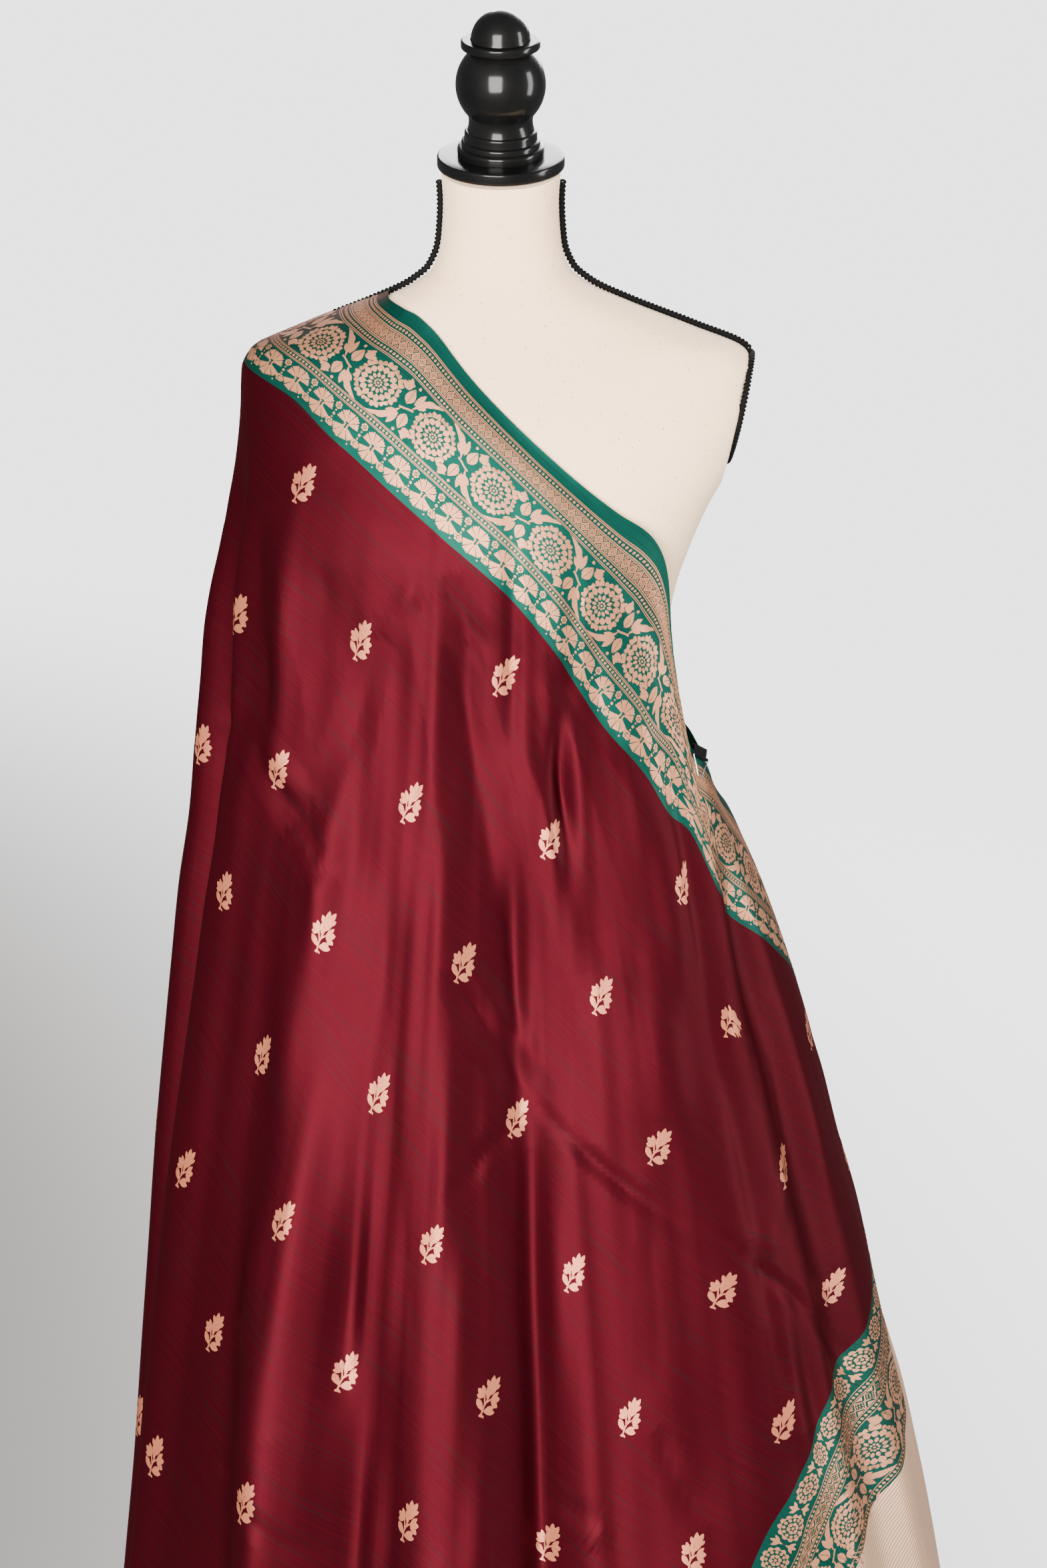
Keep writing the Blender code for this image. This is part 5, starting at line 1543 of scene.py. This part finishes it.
# %% Clip
CLIP_LENGTH = 0.019
CLIP_STRIP = 0.0005
CLIP_SLANT = math.radians(27.0)
CLIP_SPINE, CLIP_SPINE_HALF = -0.0052, 0.0044
CLIP_JAW, CLIP_JAW_HALF = 0.0034, 0.0036
CLIP_MIDDLE = -0.0028
CURL_INSIDE = 0.0009
WIRE_RADIUS = 0.0005
LEVER_HOLD, LEVER_LENGTH = 0.006, 0.0165


def clip_frame():
    """The clip's own axes: along its spine, toward its jaws, away from the cloth."""
    centre = Vector(on_surface(outer_radius, CLIP_AZ, CLIP_Z).tolist())
    away = Vector(outward(outer_radius, CLIP_AZ, CLIP_Z).tolist())
    level = Vector((-away.y, away.x, 0.0)).normalized()
    up = away.cross(level)
    up = up if up.z > 0 else -up
    spine = level * math.cos(CLIP_SLANT) - up * math.sin(CLIP_SLANT)
    toward_jaws = away.cross(spine)
    toward_jaws = toward_jaws if toward_jaws.z < 0 else -toward_jaws
    return Matrix.Translation(centre) @ Matrix((spine, toward_jaws, away)).transposed().to_4x4()


def clip_half(sign):
    """Half of the bent steel strip, cut across: spine, flank, and the curl at the jaw."""
    centre_along, centre_away = CLIP_JAW, CLIP_JAW_HALF + CURL_INSIDE + CLIP_STRIP
    turns = [math.radians(-90 + 270.0 * k / 24) for k in range(25)]
    rings = [
        [(centre_along + r * math.cos(t), centre_away + r * math.sin(t)) for t in turns]
        for r in (CURL_INSIDE + CLIP_STRIP, CURL_INSIDE)
    ]
    half = [(CLIP_SPINE, 0.0), (CLIP_SPINE, CLIP_SPINE_HALF)] + rings[0] + rings[1][::-1]
    half += [(CLIP_SPINE - CLIP_STRIP * 0.7, CLIP_SPINE_HALF + CLIP_STRIP),
             (CLIP_SPINE - CLIP_STRIP, CLIP_SPINE_HALF + CLIP_STRIP * 0.5), (CLIP_SPINE - CLIP_STRIP, 0.0)]
    return [(along, CLIP_MIDDLE + sign * away) for along, away in half]


def curve_mesh(name, points, closed, **settings):
    """The mesh of a curve through points: a flat outline pulled thick, or a round wire."""
    curve = bpy.data.curves.new(name, "CURVE")
    for key, value in settings.items():
        setattr(curve, key, value)
    spline = curve.splines.new("POLY")
    spline.points.add(len(points) - 1)
    for point, place in zip(spline.points, points):
        point.co = (*place, 1.0)
    spline.use_cyclic_u = closed
    return plain_mesh(put(name, curve))


CLIP_PLACE = clip_frame()
clip_outline = [(along, out, 0.0) for along, out in clip_half(1.0) + clip_half(-1.0)[-2:0:-1]]
clip_strip = curve_mesh("clip_spring", clip_outline, True, dimensions="2D", fill_mode="BOTH",
                        extrude=CLIP_LENGTH / 2)
clip_strip.transform(CLIP_PLACE @ Matrix(((0, 0, 1, 0), (1, 0, 0, 0), (0, 1, 0, 0), (0, 0, 0, 1))))
finished("clip_spring", welded(clip_strip), ENAMEL, "clip_body", sharp=35.0)


def rounded(points, steps=5):
    """Round a route of points with soft corners."""
    out = [points[0]]
    for before, here, after in zip(points, points[1:], points[2:]):
        a, b, c = Vector(before), Vector(here), Vector(after)
        start, stop = b.lerp(a, 0.35), b.lerp(c, 0.35)
        for k in range(steps + 1):
            t = k / steps
            out.append(start.lerp(b, t).lerp(b.lerp(stop, t), t))
    return out + [points[-1]]


for lever_name, node_name, sign, body in (
    ("lever_front", "clip_lever_front", 1.0, "clip_lever"),
    ("lever_back", "clip_lever_back", -1.0, BODY),
):
    away_at = CLIP_MIDDLE + sign * (CLIP_JAW_HALF + CURL_INSIDE + CLIP_STRIP)
    half_route = [
        (LEVER_HOLD, 0.0), (CLIP_LENGTH / 2 + 0.001, 0.0), (CLIP_LENGTH / 2 + 0.0014, 0.0006),
        (0.0062, 0.0085), (0.004, LEVER_LENGTH - 0.003), (0.003, LEVER_LENGTH - 0.0008),
        (0.0012, LEVER_LENGTH)]
    route = half_route + [(-across, along) for across, along in half_route[::-1]]
    route = [CLIP_PLACE @ Vector((across, CLIP_JAW + along, away_at)) for across, along in route]
    wire = curve_mesh(lever_name, rounded(route), False, dimensions="3D", bevel_depth=WIRE_RADIUS,
                      bevel_resolution=4, use_fill_caps=True)
    finished(lever_name, welded(wire), STEEL, node_name, body=body, sharp=50.0)
print("clip: spring and two levers")


# %% [markdown]
# ## The sheets in the frame
#
# Each stretch takes its finish.

# %% Cloth pieces
CLOTH_LOOKS = {
    "sari_front_border": (TEAL, "zari_border"), "sari_front_field": (MAROON, "maroon_silk"),
    "sari_lower_border_front": (TEAL, "zari_border"), "sari_pallu_band": (TEAL, "zari_border"),
    "sari_pallu_gold": (GOLD_TISSUE, "gold_tissue"), "sari_back_border": (TEAL, "zari_border"),
    "sari_back_field": (MAROON, "maroon_silk"), "sari_lower_border_back": (TEAL, "zari_border"),
}
CLOTHS = {}
for sheet_name, (finish, slot_name) in CLOTH_LOOKS.items():
    piece = finished(sheet_name + "_cloth", SHEETS[sheet_name].mesh(), finish, sheet_name)
    CLOTHS[sheet_name] = piece
    print(f"{piece.name}: {2 * len(piece.data.polygons)} triangles")


# %% [markdown]
# ## Woven motifs
#
# The border, the end band and the small scattered flowers are brocaded: flat gilt strip is
# carried over the ground only where a motif needs it, and lies slightly proud of it. Painting
# them with a picture would blur, so each motif is drawn once as a small flat mesh, in
# millimetres of cloth. The flower, leaf and bead forms are the ordinary ones of this craft,
# drawn here by rule: rings of petals, split leaves and scalloped fans.

# %% Drawing flat shapes
def on_circle(x, y, radius, degrees):
    turn = np.radians(degrees)
    return np.stack([x + radius * np.cos(turn), y + radius * np.sin(turn)], 1)


MIDRIB = 0.22


def ray(angle):
    """Unit steps along an angle and square to it."""
    a = math.radians(angle)
    return np.array((math.cos(a), math.sin(a))), np.array((-math.sin(a), math.cos(a)))


class Motif:
    """A flat drawing: points with a height in millimetres, and faces."""

    def __init__(self):
        self.points, self.faces = [], []

    def patch(self, outline, lift=0.1):
        """A filled outline, as a fan round its middle, which is lifted a little."""
        outline = np.asarray(outline, float)
        first = len(self.points)
        self.points.append((*outline.mean(0), lift))
        self.points += [(*p, 0.0) for p in outline]
        count = len(outline)
        self.faces += [(first, first + 1 + k, first + 1 + (k + 1) % count) for k in range(count)]

    def disc(self, x, y, radius, sides=8, lift=0.12):
        self.patch(on_circle(x, y, radius, np.arange(sides) * 360.0 / sides), lift)

    def petal(self, x, y, angle, near, far, width, blunt=1.0):
        """A petal on a ray from x, y: widest past its middle if blunt is over 1."""
        t = np.array([0.0, 0.18, 0.42, 0.68, 0.88, 1.0])
        half = width / 2 * np.sin(math.pi * t**blunt) ** 0.8
        reach = near + (far - near) * t
        along, aside = ray(angle)
        one = [(x, y) + along * r + aside * h for r, h in zip(reach, half)]
        other = [(x, y) + along * r - aside * h for r, h in zip(reach[1:-1], half[1:-1])]
        self.patch(one + other[::-1])

    def leaf(self, x, y, angle, length, width):
        """A leaf in two halves, with its midrib left open between them."""
        t = np.linspace(0.0, 1.0, 6)
        half = width / 2 * np.sin(math.pi * t**0.8)
        along, aside = ray(angle)
        for side in (1, -1):
            rib = [(x, y) + along * length * s + aside * side * MIDRIB for s in t]
            rim = [(x, y) + along * length * s + aside * side * (MIDRIB + h)
                   for s, h in zip(t[1:-1], half[1:-1])]
            self.patch(rib + rim[::-1], 0.08)

    def fan(self, x, y, near, far, start, stop, scallops, depth=0.1, gap=0.5):
        """A sector with a scalloped rim, such as a spread leaf."""
        turn = np.linspace(start + gap, stop - gap, 3 * scallops + 1)
        wave = far * (1 - depth * np.abs(np.cos(math.pi * scallops * (turn - start) / (stop - start))))
        hub = on_circle(x, y, near, np.array((stop - gap, start + gap)))
        self.patch(np.concatenate([on_circle(x, y, wave, turn), hub]))

    def strip(self, line, widths):
        """A band along a line of points."""
        line = np.asarray(line, float)
        widths = np.broadcast_to(widths, len(line))
        along = np.gradient(line, axis=0)
        along /= np.linalg.norm(along, axis=1, keepdims=True)
        aside = np.stack([-along[:, 1], along[:, 0]], 1) * (widths / 2)[:, None]
        first = len(self.points)
        for p in np.stack([line + aside, line - aside], 1).reshape(-1, 2):
            self.points.append((*p, 0.0))
        self.faces += [
            (first + 2 * k, first + 2 * k + 1, first + 2 * k + 3, first + 2 * k + 2)
            for k in range(len(line) - 1)]

    def crescent(self, x, y, radius, width, start, stop, steps=14):
        """A band inside a circle, thick in its middle and pointed at both ends."""
        thick = width * np.sin(np.linspace(0.04, math.pi - 0.04, steps + 1)) ** 0.7
        self.strip(on_circle(x, y, radius - thick / 2, np.linspace(start, stop, steps + 1)), thick)

    def lozenge(self, half_x, half_y, width):
        ends = [(half_x, 0), (0, half_y), (-half_x, 0), (0, -half_y)]
        for a, b in zip(ends, ends[1:] + ends[:1]):
            self.strip([a, b], width)

    def flower(self, x, y, radius, petals, start=0.0):
        self.disc(x, y, radius * 0.26, 6)
        for k in range(petals):
            self.petal(x, y, start + 360.0 * k / petals, radius * 0.36, radius, radius * 0.78, 1.2)

    def mesh(self, name):
        data = bpy.data.meshes.new(name)
        data.from_pydata([(x / 1000, y / 1000, z / 1000) for x, y, z in self.points], [], self.faces)
        return put(name, data)


print("drawing tools: patch, disc, petal, leaf, fan, strip, crescent, flower")


# %% [markdown]
# The big flower of the border leans toward one edge, and a vine swings round its other side.
# Turned over at each repeat, the flowers alternate and the vines join into one winding stem,
# with a bud and leaves in each corner. The gilt covers most of the ground: what reads as a
# drawn line in the real border is the narrow ground left between two shapes.

# %% Motifs of the borders
BAND_HALF = 22.0


def around_turn(s, x, y, angle):
    """A place and an angle, as they are or turned half round."""
    return s * x, s * y, angle if s > 0 else angle + 180


def ring_flower():
    m = Motif()
    m.disc(0, 0, 0.9, 6)
    for x, y in on_circle(0, 0, 2.6, np.arange(0, 360, 45)):
        m.disc(x, y, 0.9, 6)
    for k in range(12):
        m.petal(0, 0, 30 * k, 4.2, 8.6, 2.7, 1.0)
    for k in range(16):
        m.petal(0, 0, 22.5 * k + 6, 8.8, 14.6 + 0.8 * (k % 2), 4.9, 1.1)
    for k in range(14):
        m.fan(0, 0, 15.4, 19.6 + 1.2 * (k % 2), 25.7 * k, 25.7 * (k + 1), 2, 0.12, 0.9)
    m.crescent(0, 0, 25.2, 3.6, 188, 262)
    m.crescent(0, 0, 25.2, 3.6, 272, 352)
    # it fills its place: a little wider than tall, and cut off by the lines beside it
    m.points = [(x * 1.14, min(max(y + 1.2, -BAND_HALF), BAND_HALF), z) for x, y, z in m.points]
    return m


def ring_corner():
    """What fills the space between two ring flowers, on its repeat's own middle."""
    m = Motif()
    m.strip([(-6.4, -2.0), (-2.2, -0.9), (2.2, 0.9), (6.4, 2.0)], 1.5)
    for s in (1, -1):
        m.leaf(*around_turn(s, -2.6, 3.2, 97), 13.6, 9.4)
        for x, y, angle, length, width in (
            (-8.2, 12.6, 158, 10.2, 4.6), (-7.6, 13.2, 124, 9.8, 4.8), (-6.0, 17.4, 176, 9.0, 3.4),
            (3.4, 6.4, 76, 13.6, 5.2), (4.6, 6.6, 52, 15.0, 5.4), (6.2, 6.0, 34, 9.4, 3.6),
            (10.4, 17.4, 14, 10.0, 3.4),
        ):
            m.petal(*around_turn(s, x, y, angle), 0.0, length, width)
        m.disc(s * -1.4, s * 19.4, 1.5, 6)
        m.disc(s * -14.2, s * 7.4, 1.0, 6)
    return m


def edging_spray():
    """A leafy spray that hangs from the last bead row toward the field."""
    m = Motif()
    for k in range(5):
        m.fan(0, 13.0, 2.0, 11.6 + 0.8 * (k % 2), -178 + 35 * k, -143 + 35 * k, 3, 0.1, 2.0)
    for k in range(4):
        m.fan(0, 14.6, 2.6, 13.2 - 0.8 * (k % 2), 18 + 36 * k, 54 + 36 * k, 4, 0.1, 2.0)
    for s in (1, -1):
        for k in range(3):
            m.petal(0.3 * s, 12.6 + 1.7 * k, 90 - 60 * s, 0.3, 2.6, 1.6)
    for x, y, size, turn in ((14.2, 21.4, 3.6, 0), (-11.9, 22.4, 2.4, 30), (14.2, 4.6, 3.4, 15)):
        m.flower(x, y, size, 6, turn)
    for x, y, size in ((14.2, 13.2, 1.4), (14.2, 9.6, 0.9), (14.2, 16.6, 0.9), (9.6, 26.6, 0.9)):
        m.disc(x, y, size, 6)
    return m


def lattice_unit():
    """Nested lozenges, with half lozenges between them."""
    m = Motif()
    m.lozenge(3.4, 3.95, 1.0)
    m.lozenge(1.8, 2.2, 0.9)
    m.disc(0, 0, 0.7, 4)
    for s in (1, -1):
        m.strip([(2.2, s * 3.9), (3.75, s * 1.9), (5.3, s * 3.9)], 0.9)
        m.patch([(3.2, s * 4.2), (3.75, s * 3.3), (4.3, s * 4.2)], 0.05)
    return m


def bead():
    m = Motif()
    m.disc(0, 0, 1.2, 8, 0.25)
    return m


def field_flower():
    """The small leaning plant that is scattered on the field, 32 mm tall, drawn as it is seen."""
    m = Motif()
    m.strip([(-7.6, 15.2), (-6.4, 12.6), (-4.6, 8.0), (-1.4, 3.6), (1.6, -1.4), (3.6, -5.0)],
            [2.2, 1.4, 1.5, 1.5, 1.5, 1.3])
    m.strip([(-3.6, 6.4), (-3.4, 3.0), (-3.2, -0.6)], 1.2)
    m.strip([(-2.6, 5.4), (0.4, 3.8), (3.2, 3.0)], 1.3)
    for x, y, angle, length, width in (
        (-6.2, 13.2, 158, 3.2, 1.8), (-6.4, 13.4, 62, 3.6, 1.6),
        (-5.6, 11.0, -112, 11.6, 5.2), (-5.2, 11.2, -6, 9.6, 5.4), (-5.0, 11.6, 14, 10.4, 4.6),
        (-3.0, 0.4, -158, 7.6, 4.4), (-3.0, 0.0, -128, 9.4, 4.6), (-2.8, 0.4, -100, 9.8, 3.8),
        (-1.6, 2.4, -76, 11.6, 3.8), (0.6, 0.6, -38, 9.2, 3.2),
        (1.4, 4.2, -34, 9.6, 3.8), (1.8, 3.8, 6, 8.4, 5.2), (1.8, 4.2, 50, 8.8, 4.4),
        (2.6, -3.2, -106, 10.0, 4.0), (2.8, -3.2, -76, 12.2, 4.6), (3.0, -3.4, -50, 12.2, 4.6),
        (3.0, -3.4, -20, 8.6, 4.0),
    ):
        m.petal(x, y, angle, 0.2, length, width, 1.25)
    return m


def medallion():
    m = Motif()
    m.flower(0, 0, 5.0, 6)
    for k, (x, y) in enumerate(on_circle(0, 0, 7.0, np.arange(15, 375, 30))):
        m.disc(x, y, 1.4, 6)
        m.fan(0, 0, 8.8, 12.6, 30 * k, 30 * k + 30, 1, 0.22, 1.0)
    for s in (1, -1):
        m.petal(15.0, 0, 90 * s, 0.8, 11.0, 3.4, 1.2)
        m.petal(15.0, s * 3.4, 90 * s + 40, 0.4, 7.0, 2.6)
        m.petal(15.0, s * 3.4, 90 * s - 40, 0.4, 7.0, 2.6)
    return m


def diaper_unit():
    """A lozenge of small dots between crossing bands."""
    m = Motif()
    for i in range(3):
        for j in range(3):
            m.disc((i - j) * 1.3, (i + j - 2) * 1.2, 0.62, 4, 0.05)
    m.lozenge(4.7, 4.4, 0.7)
    m.disc(5.2, 0, 0.9, 6)
    for s in (1, -1):
        m.patch([(2.4, s * 4.4), (5.2, s * 1.8), (8.0, s * 4.4)], 0.05)
    return m


print("motifs: ring flower, corner, spray, lattice, bead, field flower, medallion, diaper")


# %% [markdown]
# ## Setting the motifs out
#
# A loom repeats a motif at an even pitch. Each row of the pattern is a set of points on the
# flat cloth, with the way each repeat is turned and flipped, and one Geometry Nodes tree sets
# the motif on every point and makes the result one mesh.

# %% Motif rows
def motif_tree():
    grow = Grow("motif_rows", {"Motif": "Object", "Finish": "Material"})
    motif = grow.add("GeometryNodeObjectInfo", "Geometry", Object=grow.start["Motif"])
    points = grow.add("GeometryNodeMeshToPoints", Mesh=grow.start["Geometry"])
    turning = grow.add("FunctionNodeEulerToRotation", Euler=grow.read("turn"))
    placed = grow.add("GeometryNodeInstanceOnPoints", Points=points, Instance=motif, Rotation=turning,
                      Scale=grow.read("flip"))
    return grow.close(placed)


MOTIF_ROWS = motif_tree()
DRAWN = {draw.__name__: draw().mesh(draw.__name__) for draw in (
    ring_flower, ring_corner, edging_spray, lattice_unit, bead, field_flower, medallion, diaper_unit)}


def set_out(motif_name, spots):
    """Flat corners and faces of a motif at spots: along, across, turn in degrees, flip."""
    data = bpy.data.meshes.new("spots")
    data.from_pydata([(s, t, 0.0) for s, t, _, _ in spots], [], [])
    turns = data.attributes.new("turn", "FLOAT_VECTOR", "POINT")
    flips = data.attributes.new("flip", "FLOAT_VECTOR", "POINT")
    turned_by = np.array([(0, 0, math.radians(r)) for _, _, r, _ in spots], np.float32)
    turns.data.foreach_set("vector", turned_by.ravel())
    flipped = np.array([(1, f, 1) for _, _, _, f in spots], np.float32)
    flips.data.foreach_set("vector", flipped.ravel())
    made = grown(motif_name + "_row", data, MOTIF_ROWS, {"Motif": DRAWN[motif_name]}, ZARI)
    places = np.zeros(3 * len(made.vertices))
    made.vertices.foreach_get("co", places)
    faces = [tuple(p.vertices) for p in made.polygons]
    bpy.data.meshes.remove(made)
    return places.reshape(-1, 3), faces, len(places) // 3 // len(spots)


def line_strip(run, fixed, width, along=True):
    """A thin woven line, along the cloth or across it."""
    run = np.linspace(*run, max(2, int((run[1] - run[0]) / LINE_STEP)))
    sides = [(run, np.full_like(run, fixed - width / 2)), (run, np.full_like(run, fixed + width / 2))]
    sides = sides if along else [(b, a) for a, b in sides]
    places = np.stack([np.stack([s, t, np.zeros_like(s)], 1) for s, t in sides], 1).reshape(-1, 3)
    faces = [(2 * k, 2 * k + 1, 2 * k + 3, 2 * k + 2) for k in range(len(run) - 1)]
    return places, faces, 2


def row_of(motif, run, pitch, place, along=True, turn=90, flip=1, shift=0.0, alternate=False):
    """A motif repeated along the cloth, or across it, turned over each second time if asked."""
    spots = []
    for k in range(math.ceil(run[0] / pitch), math.floor(run[1] / pitch) + 1):
        here = k * pitch + shift
        turned_over = -1 if alternate and k % 2 == 0 else 1
        spots.append((here, place, 0, flip * turned_over) if along else (place, here, turn, turned_over))
    return set_out(motif, spots)


def flower_rows(run, place, along=True):
    """Ring flowers that lean to each side in turn, and what joins them."""
    return [row_of("ring_flower", run, FLOWER_STEP, place, along, alternate=True),
            row_of("ring_corner", run, FLOWER_STEP, place, along, shift=FLOWER_STEP / 2, alternate=True)]


LINE_STEP = 0.004
FLOWER_LEAN = -40.0
BEAD_STEP, LATTICE_STEP, FLOWER_STEP, SPRAY_STEP = 0.0036, 0.0075, 0.065, 0.0285
MEDALLION_STEP, DIAPER_STEP = 0.03, 0.0104
# places across the border from its selvedge, in metres; a line also has its width
BEAD_ROWS = (0.0152, 0.0327, 0.0854)
LATTICE_PLACE, FLOWER_PLACE, SPRAY_PLACE = 0.024, 0.0595, 0.0893
LINES = ((0.0113, 0.0006), (0.0126, 0.0008), (0.0179, 0.0008), (0.0192, 0.0007), (0.0288, 0.0007),
         (0.0301, 0.0006), (0.0353, 0.0006), (0.0366, 0.0005), (0.0819, 0.0005), (0.0831, 0.0006),
         (0.0877, 0.0006), (0.0889, 0.0004))
# places in the end band from where it begins
BAND_BEAD_ROWS = (0.0308, 0.0475, 0.0955)
MEDALLION_PLACE, DIAPER_PLACE, BAND_FLOWER_PLACE = 0.014, 0.0392, 0.0715
BAND_LINES = ((0.0283, 0.0006), (0.0333, 0.0006), (0.0345, 0.0004), (0.0439, 0.0004),
              (0.045, 0.0006), (0.0499, 0.0006), (0.0932, 0.0006), (0.0979, 0.0006))


def border_pattern(run, across, flip):
    """Everything woven in one border, between two places along the cloth."""
    parts = [row_of("bead", run, BEAD_STEP, across(place)) for place in BEAD_ROWS]
    parts.append(row_of("lattice_unit", run, LATTICE_STEP, across(LATTICE_PLACE)))
    parts += flower_rows(run, across(FLOWER_PLACE))
    parts.append(row_of("edging_spray", run, SPRAY_STEP, across(SPRAY_PLACE), flip=flip))
    return parts + [line_strip(run, across(place), width) for place, width in LINES]


def field_pattern(start, stop, lowest=0.14, highest=1.0):
    """The scattered plants: a half-drop lattice that fills the field."""
    spots = []
    for column in range(-40, 41):
        for row in range(-40, 41):
            s = (column + row) * FLOWER_STEP_ALONG
            t = FLOWER_START + (row - column) * FLOWER_STEP_ACROSS
            if start < s < stop and lowest < t < highest:
                spots.append((s, t, FLOWER_LEAN, 1))
    return [set_out("field_flower", spots)]


def band_pattern(run):
    """The end band. Its rows run across the cloth."""
    parts = [row_of("medallion", run, MEDALLION_STEP, BAND_START + MEDALLION_PLACE, False)]
    parts += [row_of("bead", run, BEAD_STEP, BAND_START + place, False, turn=0) for place in BAND_BEAD_ROWS]
    parts.append(row_of("diaper_unit", run, DIAPER_STEP, BAND_START + DIAPER_PLACE, False))
    parts += flower_rows(run, BAND_START + BAND_FLOWER_PLACE, False)
    return parts + [line_strip(run, BAND_START + place, width, False) for place, width in BAND_LINES]


print("rows: beads", BEAD_STEP * 1000, "mm, ring flowers", FLOWER_STEP * 1000, "mm")


# %% [markdown]
# ## Laying the motifs on the drape
#
# Each corner of a motif looks up the triangle of the flat cloth that it falls in, and goes to
# the same spot of that triangle on the drape, a quarter of a millimetre above it. What falls
# off the edge of the cloth is left out. A plant that would be cut through at a seam is left
# out whole.

# %% Wrapping
PROUD = 0.00022
# how far beside the flat cloth a corner may lie and still count as on it
BESIDE = 0.0004


class Drape:
    """The flat cloth of several sheets, and where each of its triangles hangs."""

    def __init__(self, names):
        flat, outside, normals, faces, count = [], [], [], [], 0
        for name in names:
            sheet = SHEETS[name]
            rows, columns = sheet.flat.shape[:2]
            corner = np.arange(rows * columns).reshape(rows, columns) + count
            a, b, c, d = corner[:-1, :-1], corner[1:, :-1], corner[1:, 1:], corner[:-1, 1:]
            faces.append(np.concatenate([np.stack([a, b, c], -1).reshape(-1, 3),
                                         np.stack([a, c, d], -1).reshape(-1, 3)]))
            flat.append(sheet.flat.reshape(-1, 2))
            outside.append(sheet.outside.reshape(-1, 3))
            normals.append(sheet.normals.reshape(-1, 3))
            count += rows * columns
        self.flat, self.faces = np.concatenate(flat), np.concatenate(faces)
        self.outside, self.normals = np.concatenate(outside), np.concatenate(normals)
        corners = [(float(s), float(t), 0.0) for s, t in self.flat]
        self.finder = BVHTree.FromPolygons(corners, self.faces.tolist())

    def lay(self, places):
        """Where flat places hang, and which of them lie on the cloth."""
        found = [self.finder.find_nearest((s, t, 0.0)) for s, t, _ in places]
        on_cloth = np.array([distance < BESIDE for _, _, _, distance in found])
        face = self.faces[np.array([index for _, _, index, _ in found])]
        near = np.array([(p.x, p.y) for p, _, _, _ in found])
        a, b, c = (self.flat[face[:, k]] for k in range(3))
        v0, v1, v2 = b - a, c - a, near - a
        area = v0[:, 0] * v1[:, 1] - v0[:, 1] * v1[:, 0]
        area = np.where(np.abs(area) < 1e-14, 1e-14, area)
        beta = (v2[:, 0] * v1[:, 1] - v2[:, 1] * v1[:, 0]) / area
        gamma = (v0[:, 0] * v2[:, 1] - v0[:, 1] * v2[:, 0]) / area
        share = np.stack([1 - beta - gamma, beta, gamma], 1)[..., None]
        hung = (self.outside[face] * share).sum(1)
        normal = (self.normals[face] * share).sum(1)
        normal /= np.linalg.norm(normal, axis=1, keepdims=True)
        return hung + normal * (PROUD + places[:, 2:3]), on_cloth


print("motifs stand", PROUD * 1000, "mm proud of the silk")


# %% [markdown]
# ## The woven pieces
#
# Each stretch has a piece of metal thread of its own. Both long edges carry the same border,
# turned round for the lower one. A lower border is laid on its own sheet alone, because the
# flat field beside it reaches the same places.

# %% Woven pieces
def woven(name, drape, parts, finish=ZARI, whole_only=False):
    """Lay flat parts on a drape and return them as one piece."""
    places, flats, faces, count = [], [], [], 0
    for flat, flat_faces, each in parts:
        hung, kept = drape.lay(flat)
        if whole_only:
            kept = np.repeat(kept.reshape(-1, each).all(1), each)
        number = np.cumsum(kept) - 1 + count
        for face in flat_faces:
            if all(kept[k] for k in face):
                a, b, c = (flat[face[k]] for k in range(3))
                turn = (b[0] - a[0]) * (c[1] - a[1]) - (b[1] - a[1]) * (c[0] - a[0])
                ordered = face[::-1] if turn > 0 else face
                faces.append([number[k] for k in ordered])
        places.append(hung[kept])
        flats.append(flat[kept, :2])
        count += int(kept.sum())
    places, flats = np.concatenate(places), np.concatenate(flats)
    data = bpy.data.meshes.new(name)
    data.from_pydata(places.tolist(), [], faces)
    corner_of = np.concatenate([np.array(f) for f in faces])
    weave = data.uv_layers.new(name="weave")
    weave.data.foreach_set("uv", flats[corner_of].reshape(-1).astype(np.float32))
    data.shade_smooth()
    print(f"{name}: {sum(len(f) - 2 for f in faces)} triangles")
    return finished(name, data, finish)


def upper(place):
    return place


def lower(place):
    return CLOTH_WIDTH - place


FRONT_DRAPE, BACK_DRAPE = Drape(FRONT_STRETCHES), Drape(BACK_STRETCHES)
FRONT_HEM, BACK_HEM = Drape(["sari_lower_border_front"]), Drape(["sari_lower_border_back"])
WOVEN = {
    "sari_front_border": woven("front_border_zari", FRONT_DRAPE, border_pattern((-0.35, 1.62), upper, 1)),
    "sari_front_field": woven("front_field_zari", FRONT_DRAPE, field_pattern(-0.6, 0.855), BUTI_ZARI, True),
    "sari_pallu_band": woven("pallu_zari", FRONT_DRAPE, band_pattern((0.135, 1.05))),
    "sari_lower_border_front": woven("front_lower_zari", FRONT_HEM, border_pattern((-0.6, 0.9), lower, -1)),
    "sari_back_border": woven("back_border_zari", BACK_DRAPE, border_pattern((-1.3, 0.3), upper, 1)),
    "sari_back_field": woven("back_field_zari", BACK_DRAPE, field_pattern(-2.0, 0.4), BUTI_ZARI, True),
    "sari_lower_border_back": woven("back_lower_zari", BACK_HEM, border_pattern((-2.0, 0.3), lower, -1)),
}
for drawn in DRAWN.values():
    bpy.data.objects.remove(drawn)


# %% [markdown]
# ## The size of each sheet's flat cloth
#
# For each sheet the size of the flat cloth of what shows is worked out, and the sheets are counted.

for sheet_name, piece in CLOTHS.items():
    width, length, area = SHEETS[sheet_name].flat_size()
    [WOVEN[sheet_name]] if sheet_name in WOVEN else []
print("sheets:", len(CLOTHS))


# %% Finish
def plain(box):
    return [[round(c, 5) for c in corner] for corner in box]
